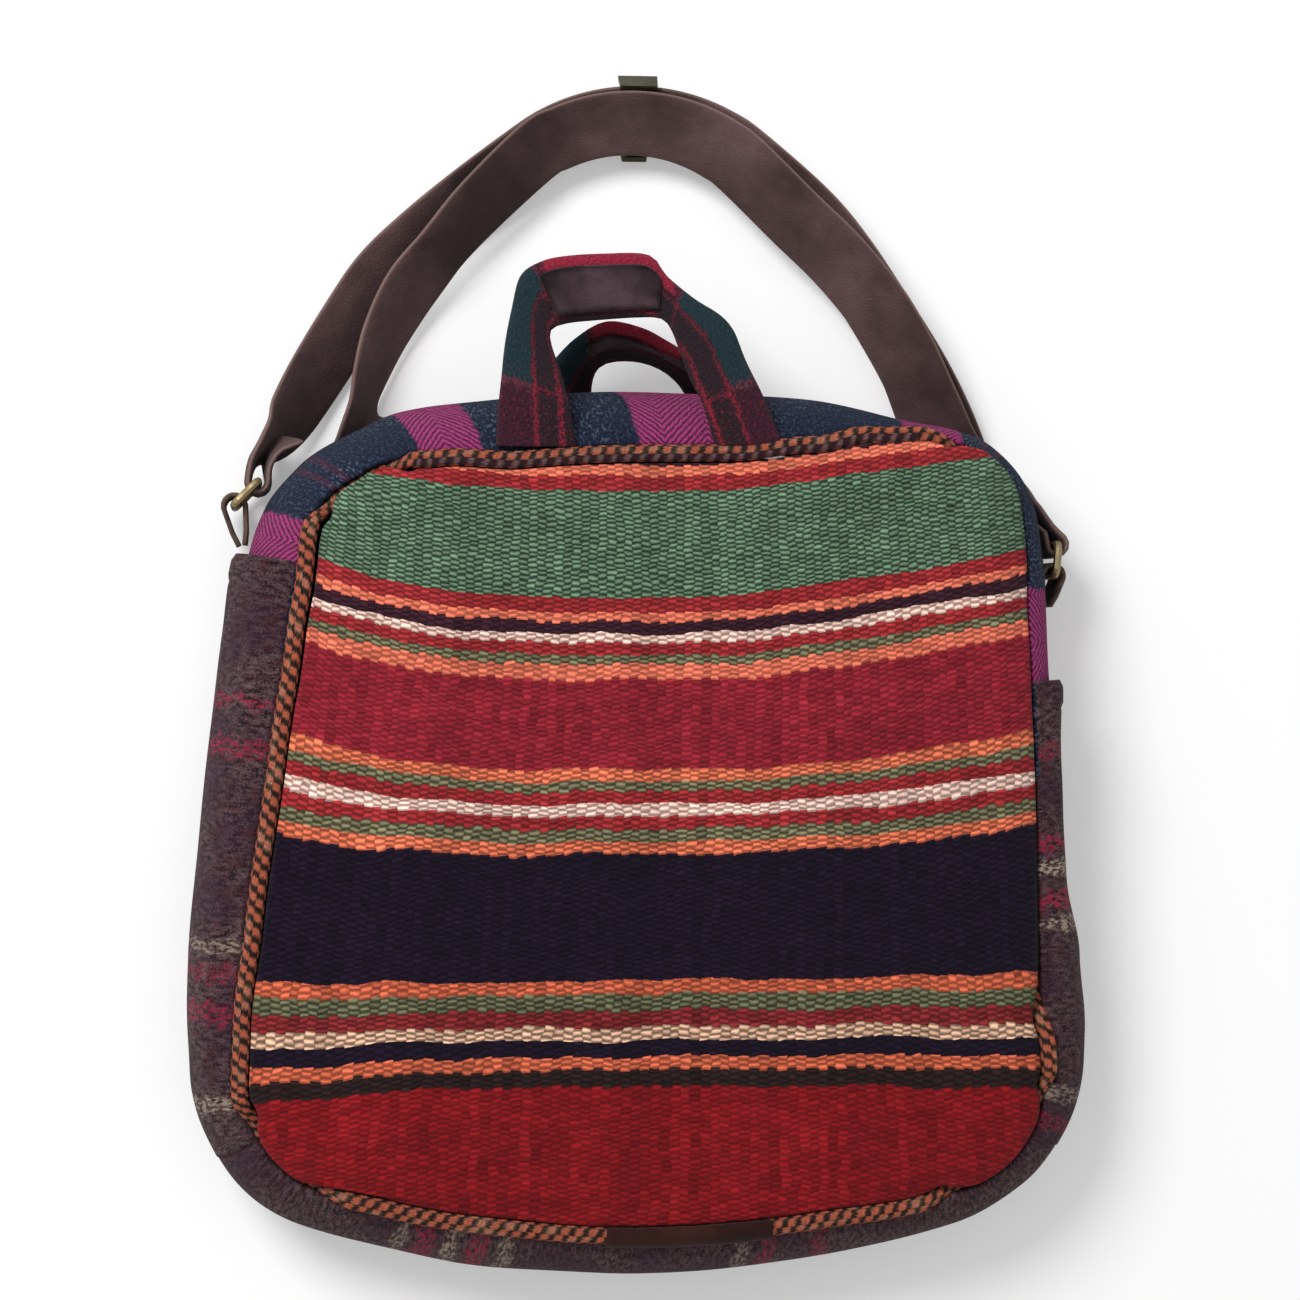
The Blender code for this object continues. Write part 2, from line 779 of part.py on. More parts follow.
def make_pocket(name, side, lip_y, flare):
    """Slip pocket on the gusset, sewn down all round except at its lip."""
    lip = side_distance(lip_y, side)
    bottom = side_distance(POCKET_BOTTOM_Y, side)
    joint = side_distance(TOP_GUSSET_RIGHT_Y if side > 0 else TOP_GUSSET_LEFT_Y, side)
    distances = stations(*sorted((lip, bottom)), (joint,))
    rows = 6

    def place(column, row, out):
        distance = distances[column]
        turn = 2.0 * row / rows - 1.0
        opening = flare * (1.0 - turn**4) * (1.0 - smooth(abs(distance - lip) / LIP_FLARE_LENGTH))
        sewn = 1.0 - POCKET_TAPER * (1.0 - smooth(abs(distance - bottom) / POCKET_TAPER_LENGTH))
        return edge_point(distance, turn * POCKET_HALF_ANGLE, POCKET_GAP + opening + out * sewn)

    return slab(
        name,
        "tweed",
        len(distances) - 1,
        rows,
        lambda column, row: place(column, row, POCKET_THICKNESS),
        lambda column, row: place(column, row, 0.0),
    )


def make_piping():
    """Round welt in the front seam, and the suede patch over its two ends."""
    patch = HALF_LENGTHS[1] - PATCH_CENTRE_X
    gap = GAP / 2
    count = 70
    start = patch + gap
    length = PERIMETER - 2 * gap
    points = [piping_point(start + length * index / count) for index in range(count + 1)]
    tube("front_piping", "orange", points, PIPING_RADIUS, False, 1)

    columns, rows = 10, 4

    def place(column, row, out):
        distance = patch + PATCH_LENGTH * (column / columns - 0.5)
        centre = piping_point(distance)
        outward = (piping_point(distance, 0.001) - centre).normalized()
        along = (piping_point(distance + 0.001) - centre).normalized()
        across = along.cross(outward)
        turn = PATCH_HALF_ANGLE * (2.0 * row / rows - 1.0)
        reach = PIPING_RADIUS + GAP + out
        return centre + (outward * math.cos(turn) + across * math.sin(turn)) * reach

    slab(
        "piping_join_patch",
        "suede",
        columns,
        rows,
        lambda column, row: place(column, row, PATCH_THICKNESS),
        lambda column, row: place(column, row, 0.0),
    )


# Zip


def zip_point(along, across, out):
    """Point at the zip: distance along it, distance towards the front, height over the cloth."""
    turn = math.pi / 2 - along / (TOP_EDGE_RADIUS - BULGE + BULGE * math.cos(ZIP_ANGLE))
    half = (SEAM_HEIGHT - STRAP_LIFT) / 2
    normal = Vector((math.cos(ZIP_ANGLE) / BULGE, math.sin(ZIP_ANGLE) / half)).normalized()
    reach = TOP_EDGE_RADIUS - BULGE + BULGE * math.cos(ZIP_ANGLE)
    reach += normal.x * out - normal.y * across
    height = STRAP_LIFT + half + half * math.sin(ZIP_ANGLE) + normal.y * out + normal.x * across
    return TOP_ARC_CENTRE + polar(turn) * reach + Vector((0.0, 0.0, height))


def zip_sag(across):
    """Fall of the curved cloth below the zip's tangent plane."""
    return across * across / (2.0 * BULGE)


def make_tape(name, side):
    """Woven tape under the gusset's edge, following its curve."""
    columns, rows = 20, 3
    curve = (SEAM_HEIGHT - STRAP_LIFT) / 2 - GUSSET_THICKNESS - TAPE_GAP - TAPE_THICKNESS

    def place(column, row, depth):
        along = SLOT_HALF_LENGTH * (2.0 * column / columns - 1.0)
        across = TAPE_INNER + (TAPE_OUTER - TAPE_INNER) * row / rows
        angle = ZIP_ANGLE + side * across / curve
        return rim(along, angle, -GUSSET_THICKNESS - TAPE_GAP - depth)

    return slab(
        name,
        "tape",
        columns,
        rows,
        lambda column, row: place(column, row, 0.0),
        lambda column, row: place(column, row, TAPE_THICKNESS),
    )


def make_teeth(name, side):
    """One row of teeth on its bead: the rear row sits half a pitch along, so the rows mesh."""
    count = int((2 * ZIP_HALF_LENGTH) / TOOTH_PITCH)
    first = -count * TOOTH_PITCH / 2 + (0.0 if side > 0 else TOOTH_PITCH / 2)
    half_depth = TEETH_THICKNESS / 2
    bm = bmesh.new()
    bmesh.ops.create_grid(bm, x_segments=2 * count - 1, y_segments=1, size=0.5)
    columns = 2 * count - 1
    for vert in bm.verts:
        column = round((vert.co.x + 0.5) * columns)
        along = first + (column // 2) * TOOTH_PITCH + (column % 2) * TOOTH_WIDTH
        vert.co = Vector((along, BEAD_INNER if vert.co.y < 0 else BEAD_OUTER, 0.0))
    bm.verts.ensure_lookup_table()
    roots = []
    for edge in bm.edges:
        low, high = sorted(vert.co.x for vert in edge.verts)
        inner = all(abs(vert.co.y - BEAD_INNER) < 1e-6 for vert in edge.verts)
        if inner and abs(high - low - TOOTH_WIDTH) < 1e-6:
            roots.append(edge)
    grown = bmesh.ops.extrude_edge_only(bm, edges=roots)
    for item in grown["geom"]:
        if isinstance(item, bmesh.types.BMVert):
            item.co.y = -TOOTH_REACH
    bmesh.ops.recalc_face_normals(bm, faces=bm.faces[:])
    grown = bmesh.ops.extrude_face_region(bm, geom=bm.faces[:])
    lower = {item for item in grown["geom"] if isinstance(item, bmesh.types.BMVert)}
    for vert in bm.verts:
        out = -TEETH_DEPTH + (-half_depth if vert in lower else half_depth)
        vert.co = zip_point(vert.co.x, side * vert.co.y, out)
    return add_object(name, mesh_from(bm, name), "brass")


def zip_block(bm, alongs, acrosses, outs):
    """Adds a box in the zip's own directions, as eight placed corners of a cube."""
    made = bmesh.ops.create_cube(bm, size=1.0)
    for vert in made["verts"]:
        along = alongs[1] if vert.co.x > 0 else alongs[0]
        across = acrosses[1] if vert.co.y > 0 else acrosses[0]
        out = outs[1] if vert.co.z > 0 else outs[0]
        vert.co = Vector((along, across, out))
    return made["verts"]


def joined_blocks(name, blocks, colour, place, origin=None):
    """Union of boxes given in flat coordinates, then laid in place."""
    pieces = []
    for index, (alongs, acrosses, outs) in enumerate(blocks):
        bm = bmesh.new()
        zip_block(bm, alongs, acrosses, outs)
        piece = bpy.data.objects.new(f"{name}_{index}", mesh_from(bm, f"{name}_{index}"))
        collection().objects.link(piece)
        pieces.append(piece)
    body = pieces[0]
    for piece in pieces[1:]:
        union = body.modifiers.new("union", "BOOLEAN")
        union.operation = "UNION"
        union.solver = "EXACT"
        union.object = piece
    graph = bpy.context.evaluated_depsgraph_get()
    mesh = bpy.data.meshes.new_from_object(body.evaluated_get(graph))
    for piece in pieces:
        bpy.data.objects.remove(piece)
    bm = bmesh.new()
    bm.from_mesh(mesh)
    bpy.data.meshes.remove(mesh)
    for vert in bm.verts:
        vert.co = place(*vert.co)
    return add_object(name, mesh_from(bm, name), colour, origin)


def make_stops():
    """Pressed stops across both tapes at the ends of the teeth."""
    for name, side in (("zip_stop_left", -1), ("zip_stop_right", 1)):
        near = ZIP_HALF_LENGTH + TOOTH_PITCH / 2 + 2 * GAP
        alongs = sorted((side * near, side * (near + STOP_LENGTH)))
        outs = (-TEETH_DEPTH - TEETH_THICKNESS / 2, -TEETH_DEPTH + TEETH_THICKNESS / 2)
        blocks = [(alongs, (-BEAD_OUTER, BEAD_OUTER), outs)]
        joined_blocks(name, blocks, "brass", zip_point)


def make_slider():
    """Slider in two shells, above and below the teeth, with a bail for its pull tab."""
    axis = TOP_ARC_CENTRE.copy()
    ends = (SLIDER_REST - SLIDER_LENGTH / 2, SLIDER_REST + SLIDER_LENGTH / 2)
    teeth_top = -TEETH_DEPTH + TEETH_THICKNESS / 2
    teeth_bottom = -TEETH_DEPTH - TEETH_THICKNESS / 2
    plate = (teeth_top + 1.5 * GAP, teeth_top + 1.5 * GAP + SLIDER_PLATE)
    tape_top = -GUSSET_THICKNESS - TAPE_GAP - zip_sag(SLIDER_NOSE_HALF_WIDTH)
    tape_bottom = tape_top - TAPE_THICKNESS - zip_sag(SLIDER_HALF_WIDTH)
    bail_top = plate[1] + BAIL_OPENING
    bail = (SLIDER_REST - BAIL_LENGTH / 2, SLIDER_REST + BAIL_LENGTH / 2)
    side = (SLIDER_HALF_WIDTH - SLIDER_FLANGE, SLIDER_HALF_WIDTH)
    upper = [(ends, (-SLIDER_HALF_WIDTH, SLIDER_HALF_WIDTH), plate)]
    upper.append((ends, side, (tape_top + GAP, plate[1] - 0.0001)))
    upper.append((ends, (-side[1], -side[0]), (tape_top + GAP, plate[1] - 0.0001)))
    posts = ((bail[0], bail[0] + BAIL_WIRE), (bail[1] - BAIL_WIRE, bail[1]))
    for post in posts:
        upper.append((post, (-BAIL_WIDTH / 2, BAIL_WIDTH / 2), (plate[1] - 0.0002, bail_top + BAIL_WIRE)))
    upper.append((bail, (-BAIL_WIDTH / 2, BAIL_WIDTH / 2), (bail_top, bail_top + BAIL_WIRE)))
    slider = joined_blocks("zip_slider", upper, "brass", zip_point, axis)
    floor = (teeth_bottom - 1.5 * GAP - SLIDER_PLATE, teeth_bottom - 1.5 * GAP)
    lower = [(ends, (-SLIDER_HALF_WIDTH, SLIDER_HALF_WIDTH), floor)]
    lower.append((ends, side, (floor[0] + 0.0001, tape_bottom - GAP)))
    lower.append((ends, (-side[1], -side[0]), (floor[0] + 0.0001, tape_bottom - GAP)))
    base = joined_blocks("zip_slider_base", lower, "brass", zip_point, axis)
    return slider, base, plate[1]


def make_puller(slider, seat):
    """Pull tab: an eye round the bail, a crossbar under it, and a flat tab."""
    middle = seat + BAIL_OPENING / 2
    outs = (middle - PULLER_THICKNESS / 2, middle + PULLER_THICKNESS / 2)
    half = PULLER_WIDTH / 2
    arm = (BAIL_WIDTH / 2 + 2 * GAP, half)
    bar = (SLIDER_REST - PULLER_THICKNESS / 2, SLIDER_REST + PULLER_THICKNESS / 2)
    tab = (SLIDER_REST - PULLER_LENGTH, SLIDER_REST - PULLER_EYE)
    blocks = [(tab, (-half, half), outs)]
    blocks.append(((tab[1] - 0.0005, bar[1]), arm, outs))
    blocks.append(((tab[1] - 0.0005, bar[1]), (-arm[1], -arm[0]), outs))
    blocks.append((bar, (-half + 0.0002, half - 0.0002), (outs[0] + 0.00005, outs[1] - 0.00005)))
    pivot = zip_point(SLIDER_REST, 0.0, middle)
    puller = joined_blocks("zip_puller", blocks, "brass", zip_point, pivot)
    puller.parent = slider
    puller.matrix_parent_inverse = Matrix.Translation(-slider.location)
    return puller


# Handles


def handle_sections(outer, inner):
    """Sections of a handle from its outer and inner edges."""
    outer = through(outer, 0.006)
    inner = through(inner, 0.006)
    count = 28
    picked = []
    for index in range(count + 1):
        share = index / count
        ends = []
        for edge in (outer, inner):
            place = share * (len(edge) - 1)
            low = min(int(place), len(edge) - 2)
            ends.append(Vector(edge[low]).lerp(Vector(edge[low + 1]), place - low))
        picked.append(ends)
    sections = []
    for index, (a, b) in enumerate(picked):
        ahead = picked[min(index + 1, count)]
        behind = picked[max(index - 1, 0)]
        along = sum(ahead, Vector()) - sum(behind, Vector())
        half = (a - b) / 2
        sections.append(((a + b) / 2, half, along.cross(half).normalized() * HANDLE_THICKNESS / 2))
    return sections


FRONT_HANDLE_OUTER = (
    (-0.0495, 0.1345, 0.0571),
    (-0.0490, 0.1430, 0.0574),
    (-0.0481, 0.1510, 0.0568),
    (-0.0468, 0.1630, 0.0556),
    (-0.0444, 0.1751, 0.0540),
    (-0.0414, 0.1862, 0.0525),
    (-0.0347, 0.1910, 0.0513),
    (-0.0270, 0.1930, 0.0506),
    (-0.0145, 0.1940, 0.0505),
    (0.0016, 0.1938, 0.0505),
    (0.0076, 0.1867, 0.0510),
    (0.0170, 0.1788, 0.0523),
    (0.0250, 0.1738, 0.0535),
    (0.0297, 0.1685, 0.0545),
    (0.0336, 0.1583, 0.0560),
    (0.0398, 0.1455, 0.0568),
    (0.0440, 0.1368, 0.0573),
)
FRONT_HANDLE_INNER = (
    (-0.0235, 0.1345, 0.0571),
    (-0.0256, 0.1430, 0.0582),
    (-0.0283, 0.1540, 0.0578),
    (-0.0312, 0.1625, 0.0568),
    (-0.0314, 0.1678, 0.0556),
    (-0.0262, 0.1702, 0.0544),
    (-0.0148, 0.1716, 0.0532),
    (-0.0015, 0.1726, 0.0530),
    (0.0058, 0.1722, 0.0536),
    (0.0090, 0.1680, 0.0552),
    (0.0115, 0.1605, 0.0570),
    (0.0150, 0.1510, 0.0580),
    (0.0190, 0.1430, 0.0584),
    (0.0215, 0.1352, 0.0573),
)
REAR_HANDLE_OUTER = (
    (-0.0365, 0.1358, 0.0098),
    (-0.0358, 0.1450, 0.0062),
    (-0.0325, 0.1535, 0.0110),
    (-0.0275, 0.1605, 0.0210),
    (-0.0210, 0.1668, 0.0310),
    (-0.0114, 0.1718, 0.0385),
    (0.0003, 0.1698, 0.0380),
    (0.0090, 0.1660, 0.0335),
    (0.0190, 0.1610, 0.0260),
    (0.0310, 0.1535, 0.0140),
    (0.0420, 0.1450, 0.0064),
    (0.0460, 0.1358, 0.0098),
)
REAR_HANDLE_INNER = (
    (-0.0125, 0.1373, 0.0098),
    (-0.0130, 0.1450, 0.0055),
    (-0.0138, 0.1530, 0.0075),
    (-0.0120, 0.1595, 0.0130),
    (-0.0060, 0.1616, 0.0165),
    (0.0023, 0.1614, 0.0175),
    (0.0091, 0.1592, 0.0165),
    (0.0145, 0.1556, 0.0130),
    (0.0185, 0.1508, 0.0085),
    (0.0210, 0.1450, 0.0058),
    (0.0225, 0.1373, 0.0098),
)


def make_handles():
    """Front handle standing off the bag, rear handle turned up on its edge, and their grips."""
    for name, outer, inner, first, last, low_margin in (
        ("front_handle", FRONT_HANDLE_OUTER, FRONT_HANDLE_INNER, 10, 17, GRIP_INNER_MARGIN),
        ("rear_handle", REAR_HANDLE_OUTER, REAR_HANDLE_INNER, 9, 19, REAR_GRIP_MARGIN),
    ):
        sections = handle_sections(outer, inner)
        if sections[len(sections) // 2][2].z < 0:
            sections = [(centre, half, -rise) for centre, half, rise in sections]
        band(name, "plaid", sections)
        middle = sections[(first + last) // 2][1].length
        low = -1.0 + low_margin / middle
        high = 1.0 - (GRIP_OUTER_MARGIN if low_margin == GRIP_INNER_MARGIN else GRIP_INNER_MARGIN) / middle
        band_patch(name + "_grip", "suede", sections[first : last + 1], low, high, GRIP_THICKNESS)


# Strap, rings and tabs


def loop_points(bar, radius, start, turn, count):
    """Points round a ring's bar, on edge, at equal angles in degrees."""
    points = []
    for index in range(count + 1):
        angle = math.radians(start + turn * index / count)
        points.append((bar.x + radius * math.cos(angle), bar.y + radius * math.sin(angle), bar.z, 90.0))
    return points


def turn_points(radius, shift, height, start, end, step):
    """Points of a round turn of the strap, clockwise, in degrees."""
    count = round((start - end) / step)
    points = []
    for index in range(count + 1):
        angle = math.radians(start + (end - start) * index / count)
        x = OUTER_TURN_CENTRE[0] + shift[0] + radius * math.cos(angle)
        y = OUTER_TURN_CENTRE[1] + shift[1] + radius * math.sin(angle)
        points.append((x, y, height, STRAP_LEAN))
    return points


# Points next to a ring, measured from its strap bar
STRAP_LEFT_TAIL = (
    (0.0087, 0.0154, -0.0027, 62.0),
    (0.0045, 0.0102, -0.0008, 76.0),
    (0.0033, 0.0050, -0.0003, 86.0),
)
STRAP_LEFT_LEAD = (
    (-0.0021, 0.0066, -0.0004, 88.0),
    (0.0022, 0.0121, -0.0016, 76.0),
    (0.0095, 0.0206, -0.0060, 52.0),
)
# Points on the floor and under the bag
STRAP_LEFT_RISE = (
    (-0.1087, 0.1553, 0.0106, 40.0),
    (-0.0978, 0.1730, 0.0100, 37.0),
    (-0.0867, 0.1895, 0.0098, 37.0),
    (-0.0735, 0.2025, 0.0106, 37.0),
    (-0.0560, 0.2170, 0.0117, 37.0),
)
STRAP_UNDER_BAG = (
    (0.0600, 0.2137, 0.0117, 37.0),
    (0.0735, 0.1985, 0.0102, 37.0),
    (0.0873, 0.1784, 0.0090, 36.0),
    (0.1003, 0.1571, 0.0076, 28.0),
    (0.1110, 0.1350, 0.0046, 12.0),
    (0.1165, 0.1190, 0.0022, 2.0),
    (0.1160, 0.1050, 0.0017, 0.0),
    (0.1095, 0.0910, 0.0017, 0.0),
    (0.0970, 0.0805, 0.0017, 0.0),
    (0.0800, 0.0750, 0.0017, 0.0),
    (0.0500, 0.0727, 0.0017, 0.0),
    (0.0000, 0.0722, 0.0017, 0.0),
    (-0.0450, 0.0730, 0.0017, 0.0),
    (-0.0650, 0.0785, 0.0017, 0.0),
    (-0.0800, 0.0910, 0.0017, 0.0),
    (-0.0880, 0.1070, 0.0017, 0.0),
    (-0.0915, 0.1220, 0.0035, 12.0),
    (-0.0930, 0.1315, 0.0070, 27.0),
    (-0.0935, 0.1385, 0.0116, 55.0),
    (-0.0925, 0.1460, 0.0130, 68.0),
    (-0.0900, 0.1560, 0.0132, 62.0),
    (-0.0850, 0.1695, 0.0128, 52.0),
    (-0.0765, 0.1850, 0.0140, 44.0),
    (-0.0660, 0.1985, 0.0175, 48.0),
    (-0.0530, 0.2135, 0.0178, 42.0),
)
STRAP_RIGHT_FALL = (
    (0.0560, 0.2105, 0.0176, 37.0),
    (0.0712, 0.1965, 0.0158, 37.0),
    (0.0850, 0.1805, 0.0140, 38.0),
    (0.0952, 0.1640, 0.0126, 38.0),
    (0.1030, 0.1470, 0.0106, 32.0),
    (0.1095, 0.1320, 0.0082, 15.0),
    (0.1180, 0.1215, 0.0055, 4.0),
)
STRAP_RIGHT_LEAD = (
    (-0.0172, 0.0160, -0.0105, 28.0),
    (-0.0092, 0.0116, -0.0053, 56.0),
    (-0.0038, 0.0078, -0.0016, 78.0),
    (-0.0004, 0.0047, -0.0003, 88.0),
)
STRAP_RIGHT_TAIL = (
    (-0.0035, 0.0027, -0.0002, 88.0),
    (-0.0050, 0.0053, -0.0009, 82.0),
)


def from_bar(bar, points):
    """Strap points measured from a ring's bar."""
    return [(bar.x + x, bar.y + y, bar.z + z, tilt) for x, y, z, tilt in points]


def strap_route():
    """Whole strap: left ring, outer turn, under the bag's back, inner turn, right ring."""
    radius = RING_WIRE + LOOP_CLEARANCE + STRAP_THICKNESS / 2
    inner = OUTER_TURN_RADIUS - INNER_TURN_INSET
    route = from_bar(LEFT_STRAP_BAR, STRAP_LEFT_TAIL)
    route += loop_points(LEFT_STRAP_BAR, radius, 0.0, -180.0, 6)
    route += from_bar(LEFT_STRAP_BAR, STRAP_LEFT_LEAD)
    route += STRAP_LEFT_RISE
    route += turn_points(OUTER_TURN_RADIUS, (0.0, 0.0), OUTER_TURN_HEIGHT, 128.0, 52.0, 9.5)
    route += STRAP_UNDER_BAG
    route += turn_points(inner, INNER_TURN_SHIFT, OUTER_TURN_HEIGHT + INNER_TURN_RISE, 124.0, 50.0, 9.3)
    route += STRAP_RIGHT_FALL
    route += from_bar(RIGHT_STRAP_BAR, STRAP_RIGHT_LEAD)
    route += loop_points(RIGHT_STRAP_BAR, radius, 40.0, -220.0, 7)
    route += from_bar(RIGHT_STRAP_BAR, STRAP_RIGHT_TAIL)
    return route


def make_strap():
    """One suede strap; the angle of each point is the lean of its width over the floor."""
    route = through(strap_route(), 0.012)
    centres = [Vector(point[:3]) for point in route]
    widths = []
    for index, point in enumerate(route):
        along = centres[min(index + 1, len(centres) - 1)] - centres[max(index - 1, 0)]
        aside = Vector((-along.y, along.x, 0.0)).normalized()
        tilt = math.radians(point[3])
        widths.append((aside * math.cos(tilt) + Vector((0.0, 0.0, math.sin(tilt)))) * STRAP_WIDTH / 2)
    return band("shoulder_strap", "suede", band_sections(centres, widths, STRAP_THICKNESS))


def slide_point(along, across, out):
    """Point at the strap slide, on the strap's outer turn."""
    turn = math.pi / 2 - along / OUTER_TURN_RADIUS
    tilt = math.radians(STRAP_LEAN)
    reach = OUTER_TURN_RADIUS + across * math.cos(tilt) - out * math.sin(tilt)
    height = OUTER_TURN_HEIGHT + across * math.sin(tilt) + out * math.cos(tilt)
    centre = Vector((*OUTER_TURN_CENTRE, 0.0))
    return centre + polar(turn) * reach + Vector((0.0, 0.0, height))


def make_strap_slide():
    """Slide: two rails, a bar over the strap at each end and one under it in the middle."""
    half = SLIDE_LENGTH / 2
    near = STRAP_THICKNESS / 2 + SLIDE_CLEARANCE
    far = near + SLIDE_BAR_THICKNESS
    inner = STRAP_WIDTH / 2 + SLIDE_CLEARANCE
    outer = inner + SLIDE_RAIL
    blocks = [
        ((-half, half), (inner, outer), (-far, far)),
        ((-half, half), (-outer, -inner), (-far, far)),
    ]
    reach = (-inner - 0.0002, inner + 0.0002)
    for start in (-half, half - SLIDE_BAR):
        blocks.append(((start, start + SLIDE_BAR), reach, (near, far)))
    blocks.append(((-SLIDE_BAR / 2, SLIDE_BAR / 2), reach, (-far, -near)))
    axis = Vector((*OUTER_TURN_CENTRE, OUTER_TURN_HEIGHT))
    return joined_blocks("strap_slide", blocks, "dark_metal", slide_point, axis)


def make_ring(name, strap_bar, tab_bar):
    """Wire ring: one bar in the strap's loop, one in the tab's, and two short sides."""
    half_height = STRAP_WIDTH / 2 + RING_SIDE_CLEARANCE + RING_WIRE
    half_length = (tab_bar - strap_bar).length / 2
    along = (tab_bar - strap_bar).normalized()
    middle = (tab_bar + strap_bar) / 2
    points = []
    for index, (side, end) in enumerate(((1, 1), (-1, 1), (-1, -1), (1, -1))):
        corner_x = side * (half_length - RING_CORNER)
        corner_z = end * (half_height - RING_CORNER)
        for step in range(4):
            angle = math.radians(90.0 * index + 30.0 * step)
            x = corner_x + RING_CORNER * math.cos(angle)
            z = corner_z + RING_CORNER * math.sin(angle)
            points.append(middle + along * x + Vector((0.0, 0.0, z)))
    return tube(name, "brass", points, RING_WIRE, True, 2, strap_bar)


def make_tab(name, bar, root):
    """Leather loop: up from its root, round the ring's bar and back."""
    along = (bar - root).normalized()
    aside = Vector((along.y, -along.x, 0.0))
    spread = TAB_HALF_GAP + TAB_THICKNESS / 2
    closed = (TAB_THICKNESS + GAP) / 2
    crown = bar + along * (RING_WIRE + 0.0012 - spread + TAB_THICKNESS / 2)
    rise = (crown - root).length
    centres = [root + aside * closed]
    centres.append(root + along * rise * 0.35 + aside * (closed + spread) / 2)
    for index in range(9):
        angle = math.pi * index / 8
        centres.append(crown + aside * spread * math.cos(angle) + along * spread * math.sin(angle))
    centres.append(root + along * rise * 0.35 - aside * (closed + spread) / 2)
    centres.append(root - aside * closed)
    widths = [Vector((0.0, 0.0, TAB_WIDTH / 2)) for _ in centres]
    return band(name, "leather", band_sections(centres, widths, TAB_THICKNESS))


def main():
    for item in list(bpy.data.objects):
        bpy.data.objects.remove(item)
    make_front_panel()
    make_back_panel()
    make_gusset()
    make_pocket("left_pocket", -1, LEFT_POCKET_LIP_Y, LEFT_LIP_FLARE)
    make_pocket("right_pocket", 1, RIGHT_POCKET_LIP_Y, RIGHT_LIP_FLARE)
    make_piping()
    make_tape("zip_tape_front", 1)
    make_tape("zip_tape_rear", -1)
    make_teeth("zip_teeth_front", 1)
    make_teeth("zip_teeth_rear", -1)
    make_stops()
    slider, _, seat = make_slider()
    make_puller(slider, seat)
    make_handles()
    make_strap()
    make_strap_slide()
    make_ring("left_ring", LEFT_STRAP_BAR, LEFT_TAB_BAR)
    make_ring("right_ring", RIGHT_STRAP_BAR, RIGHT_TAB_BAR)
    make_tab("left_tab", LEFT_TAB_BAR, LEFT_TAB_ROOT)
    make_tab("right_tab", RIGHT_TAB_BAR, RIGHT_TAB_ROOT)


main()
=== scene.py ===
"""Kilim crossbody bag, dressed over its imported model: woven cloth, suede and aged metal, lit and framed."""

import bisect
import functools
import math

import bmesh
import bpy
from mathutils import Matrix, Vector, noise


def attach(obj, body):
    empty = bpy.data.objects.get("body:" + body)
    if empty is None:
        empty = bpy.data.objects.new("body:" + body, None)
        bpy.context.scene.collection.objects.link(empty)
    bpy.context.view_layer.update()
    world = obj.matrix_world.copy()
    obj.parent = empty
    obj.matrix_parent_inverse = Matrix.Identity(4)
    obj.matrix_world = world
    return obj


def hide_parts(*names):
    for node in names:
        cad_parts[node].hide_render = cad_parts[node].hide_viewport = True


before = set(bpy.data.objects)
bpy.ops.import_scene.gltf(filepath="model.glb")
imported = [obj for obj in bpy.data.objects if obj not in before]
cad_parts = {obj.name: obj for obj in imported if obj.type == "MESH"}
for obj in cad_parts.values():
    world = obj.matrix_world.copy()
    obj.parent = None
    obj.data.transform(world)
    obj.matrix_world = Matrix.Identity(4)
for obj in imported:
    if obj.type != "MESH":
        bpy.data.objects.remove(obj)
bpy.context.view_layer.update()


# Studio
# A white table top under soft daylight from the upper left. The camera looks down on the bag as it
# lies on its back, from 1.2 m and a few degrees to the left.

LOOKED_AT = Vector((0.0044, 0.0619, 0.0285))
CAMERA_OFFSET = Vector((-0.126, 0.0, 1.2))
FRAME_WIDTH = 0.442
SENSOR_WIDTH = 36.0

DAYLIGHT = 0.52
LAMP_PLACE = Vector((-0.85, 0.95, 1.45))
LAMP_SIZE = 0.8
LAMP_POWER = 25.0
TABLE_SIZE = 6.0
TABLE_DROP = 0.0002
TABLE_COLOUR = (0.82, 0.82, 0.82, 1.0)
TABLE_LIFT = 0.24
# How little a matte surface mirrors
MATTE_SPECULAR = 0.1


class Value:
    """A shader value that adds, multiplies and so on like a number; each time it makes one Math node."""

    def __init__(self, tree, socket):
        self.tree = tree
        self.socket = socket

    def __add__(self, other):
        return calc(self.tree, "ADD", self, other)

    def __sub__(self, other):
        return calc(self.tree, "SUBTRACT", self, other)

    def __rsub__(self, other):
        return calc(self.tree, "SUBTRACT", other, self)

    def __mul__(self, other):
        return calc(self.tree, "MULTIPLY", self, other)

    def __truediv__(self, other):
        return calc(self.tree, "DIVIDE", self, other)

    def __pow__(self, other):
        return calc(self.tree, "POWER", self, other)

    def __mod__(self, other):
        return calc(self.tree, "FLOORED_MODULO", self, other)

    def __abs__(self):
        return calc(self.tree, "ABSOLUTE", self)


def feed(tree, target, value):
    """Links a shader value or a socket to an input, or sets the input to a number; None leaves it alone."""
    if isinstance(value, Value):
        value = value.socket
    if isinstance(value, bpy.types.NodeSocket):
        tree.links.new(value, target)
    elif value is not None:
        target.default_value = value


def node(tree, kind, *inputs, **settings):
    """Adds one shader node, with its settings and its first inputs."""
    made = tree.nodes.new("ShaderNode" + kind)
    for key, value in settings.items():
        setattr(made, key, value)
    for target, value in zip(made.inputs, inputs):
        feed(tree, target, value)
    return made


def calc(tree, operation, *values):
    return Value(tree, node(tree, "Math", *values, operation=operation).outputs[0])


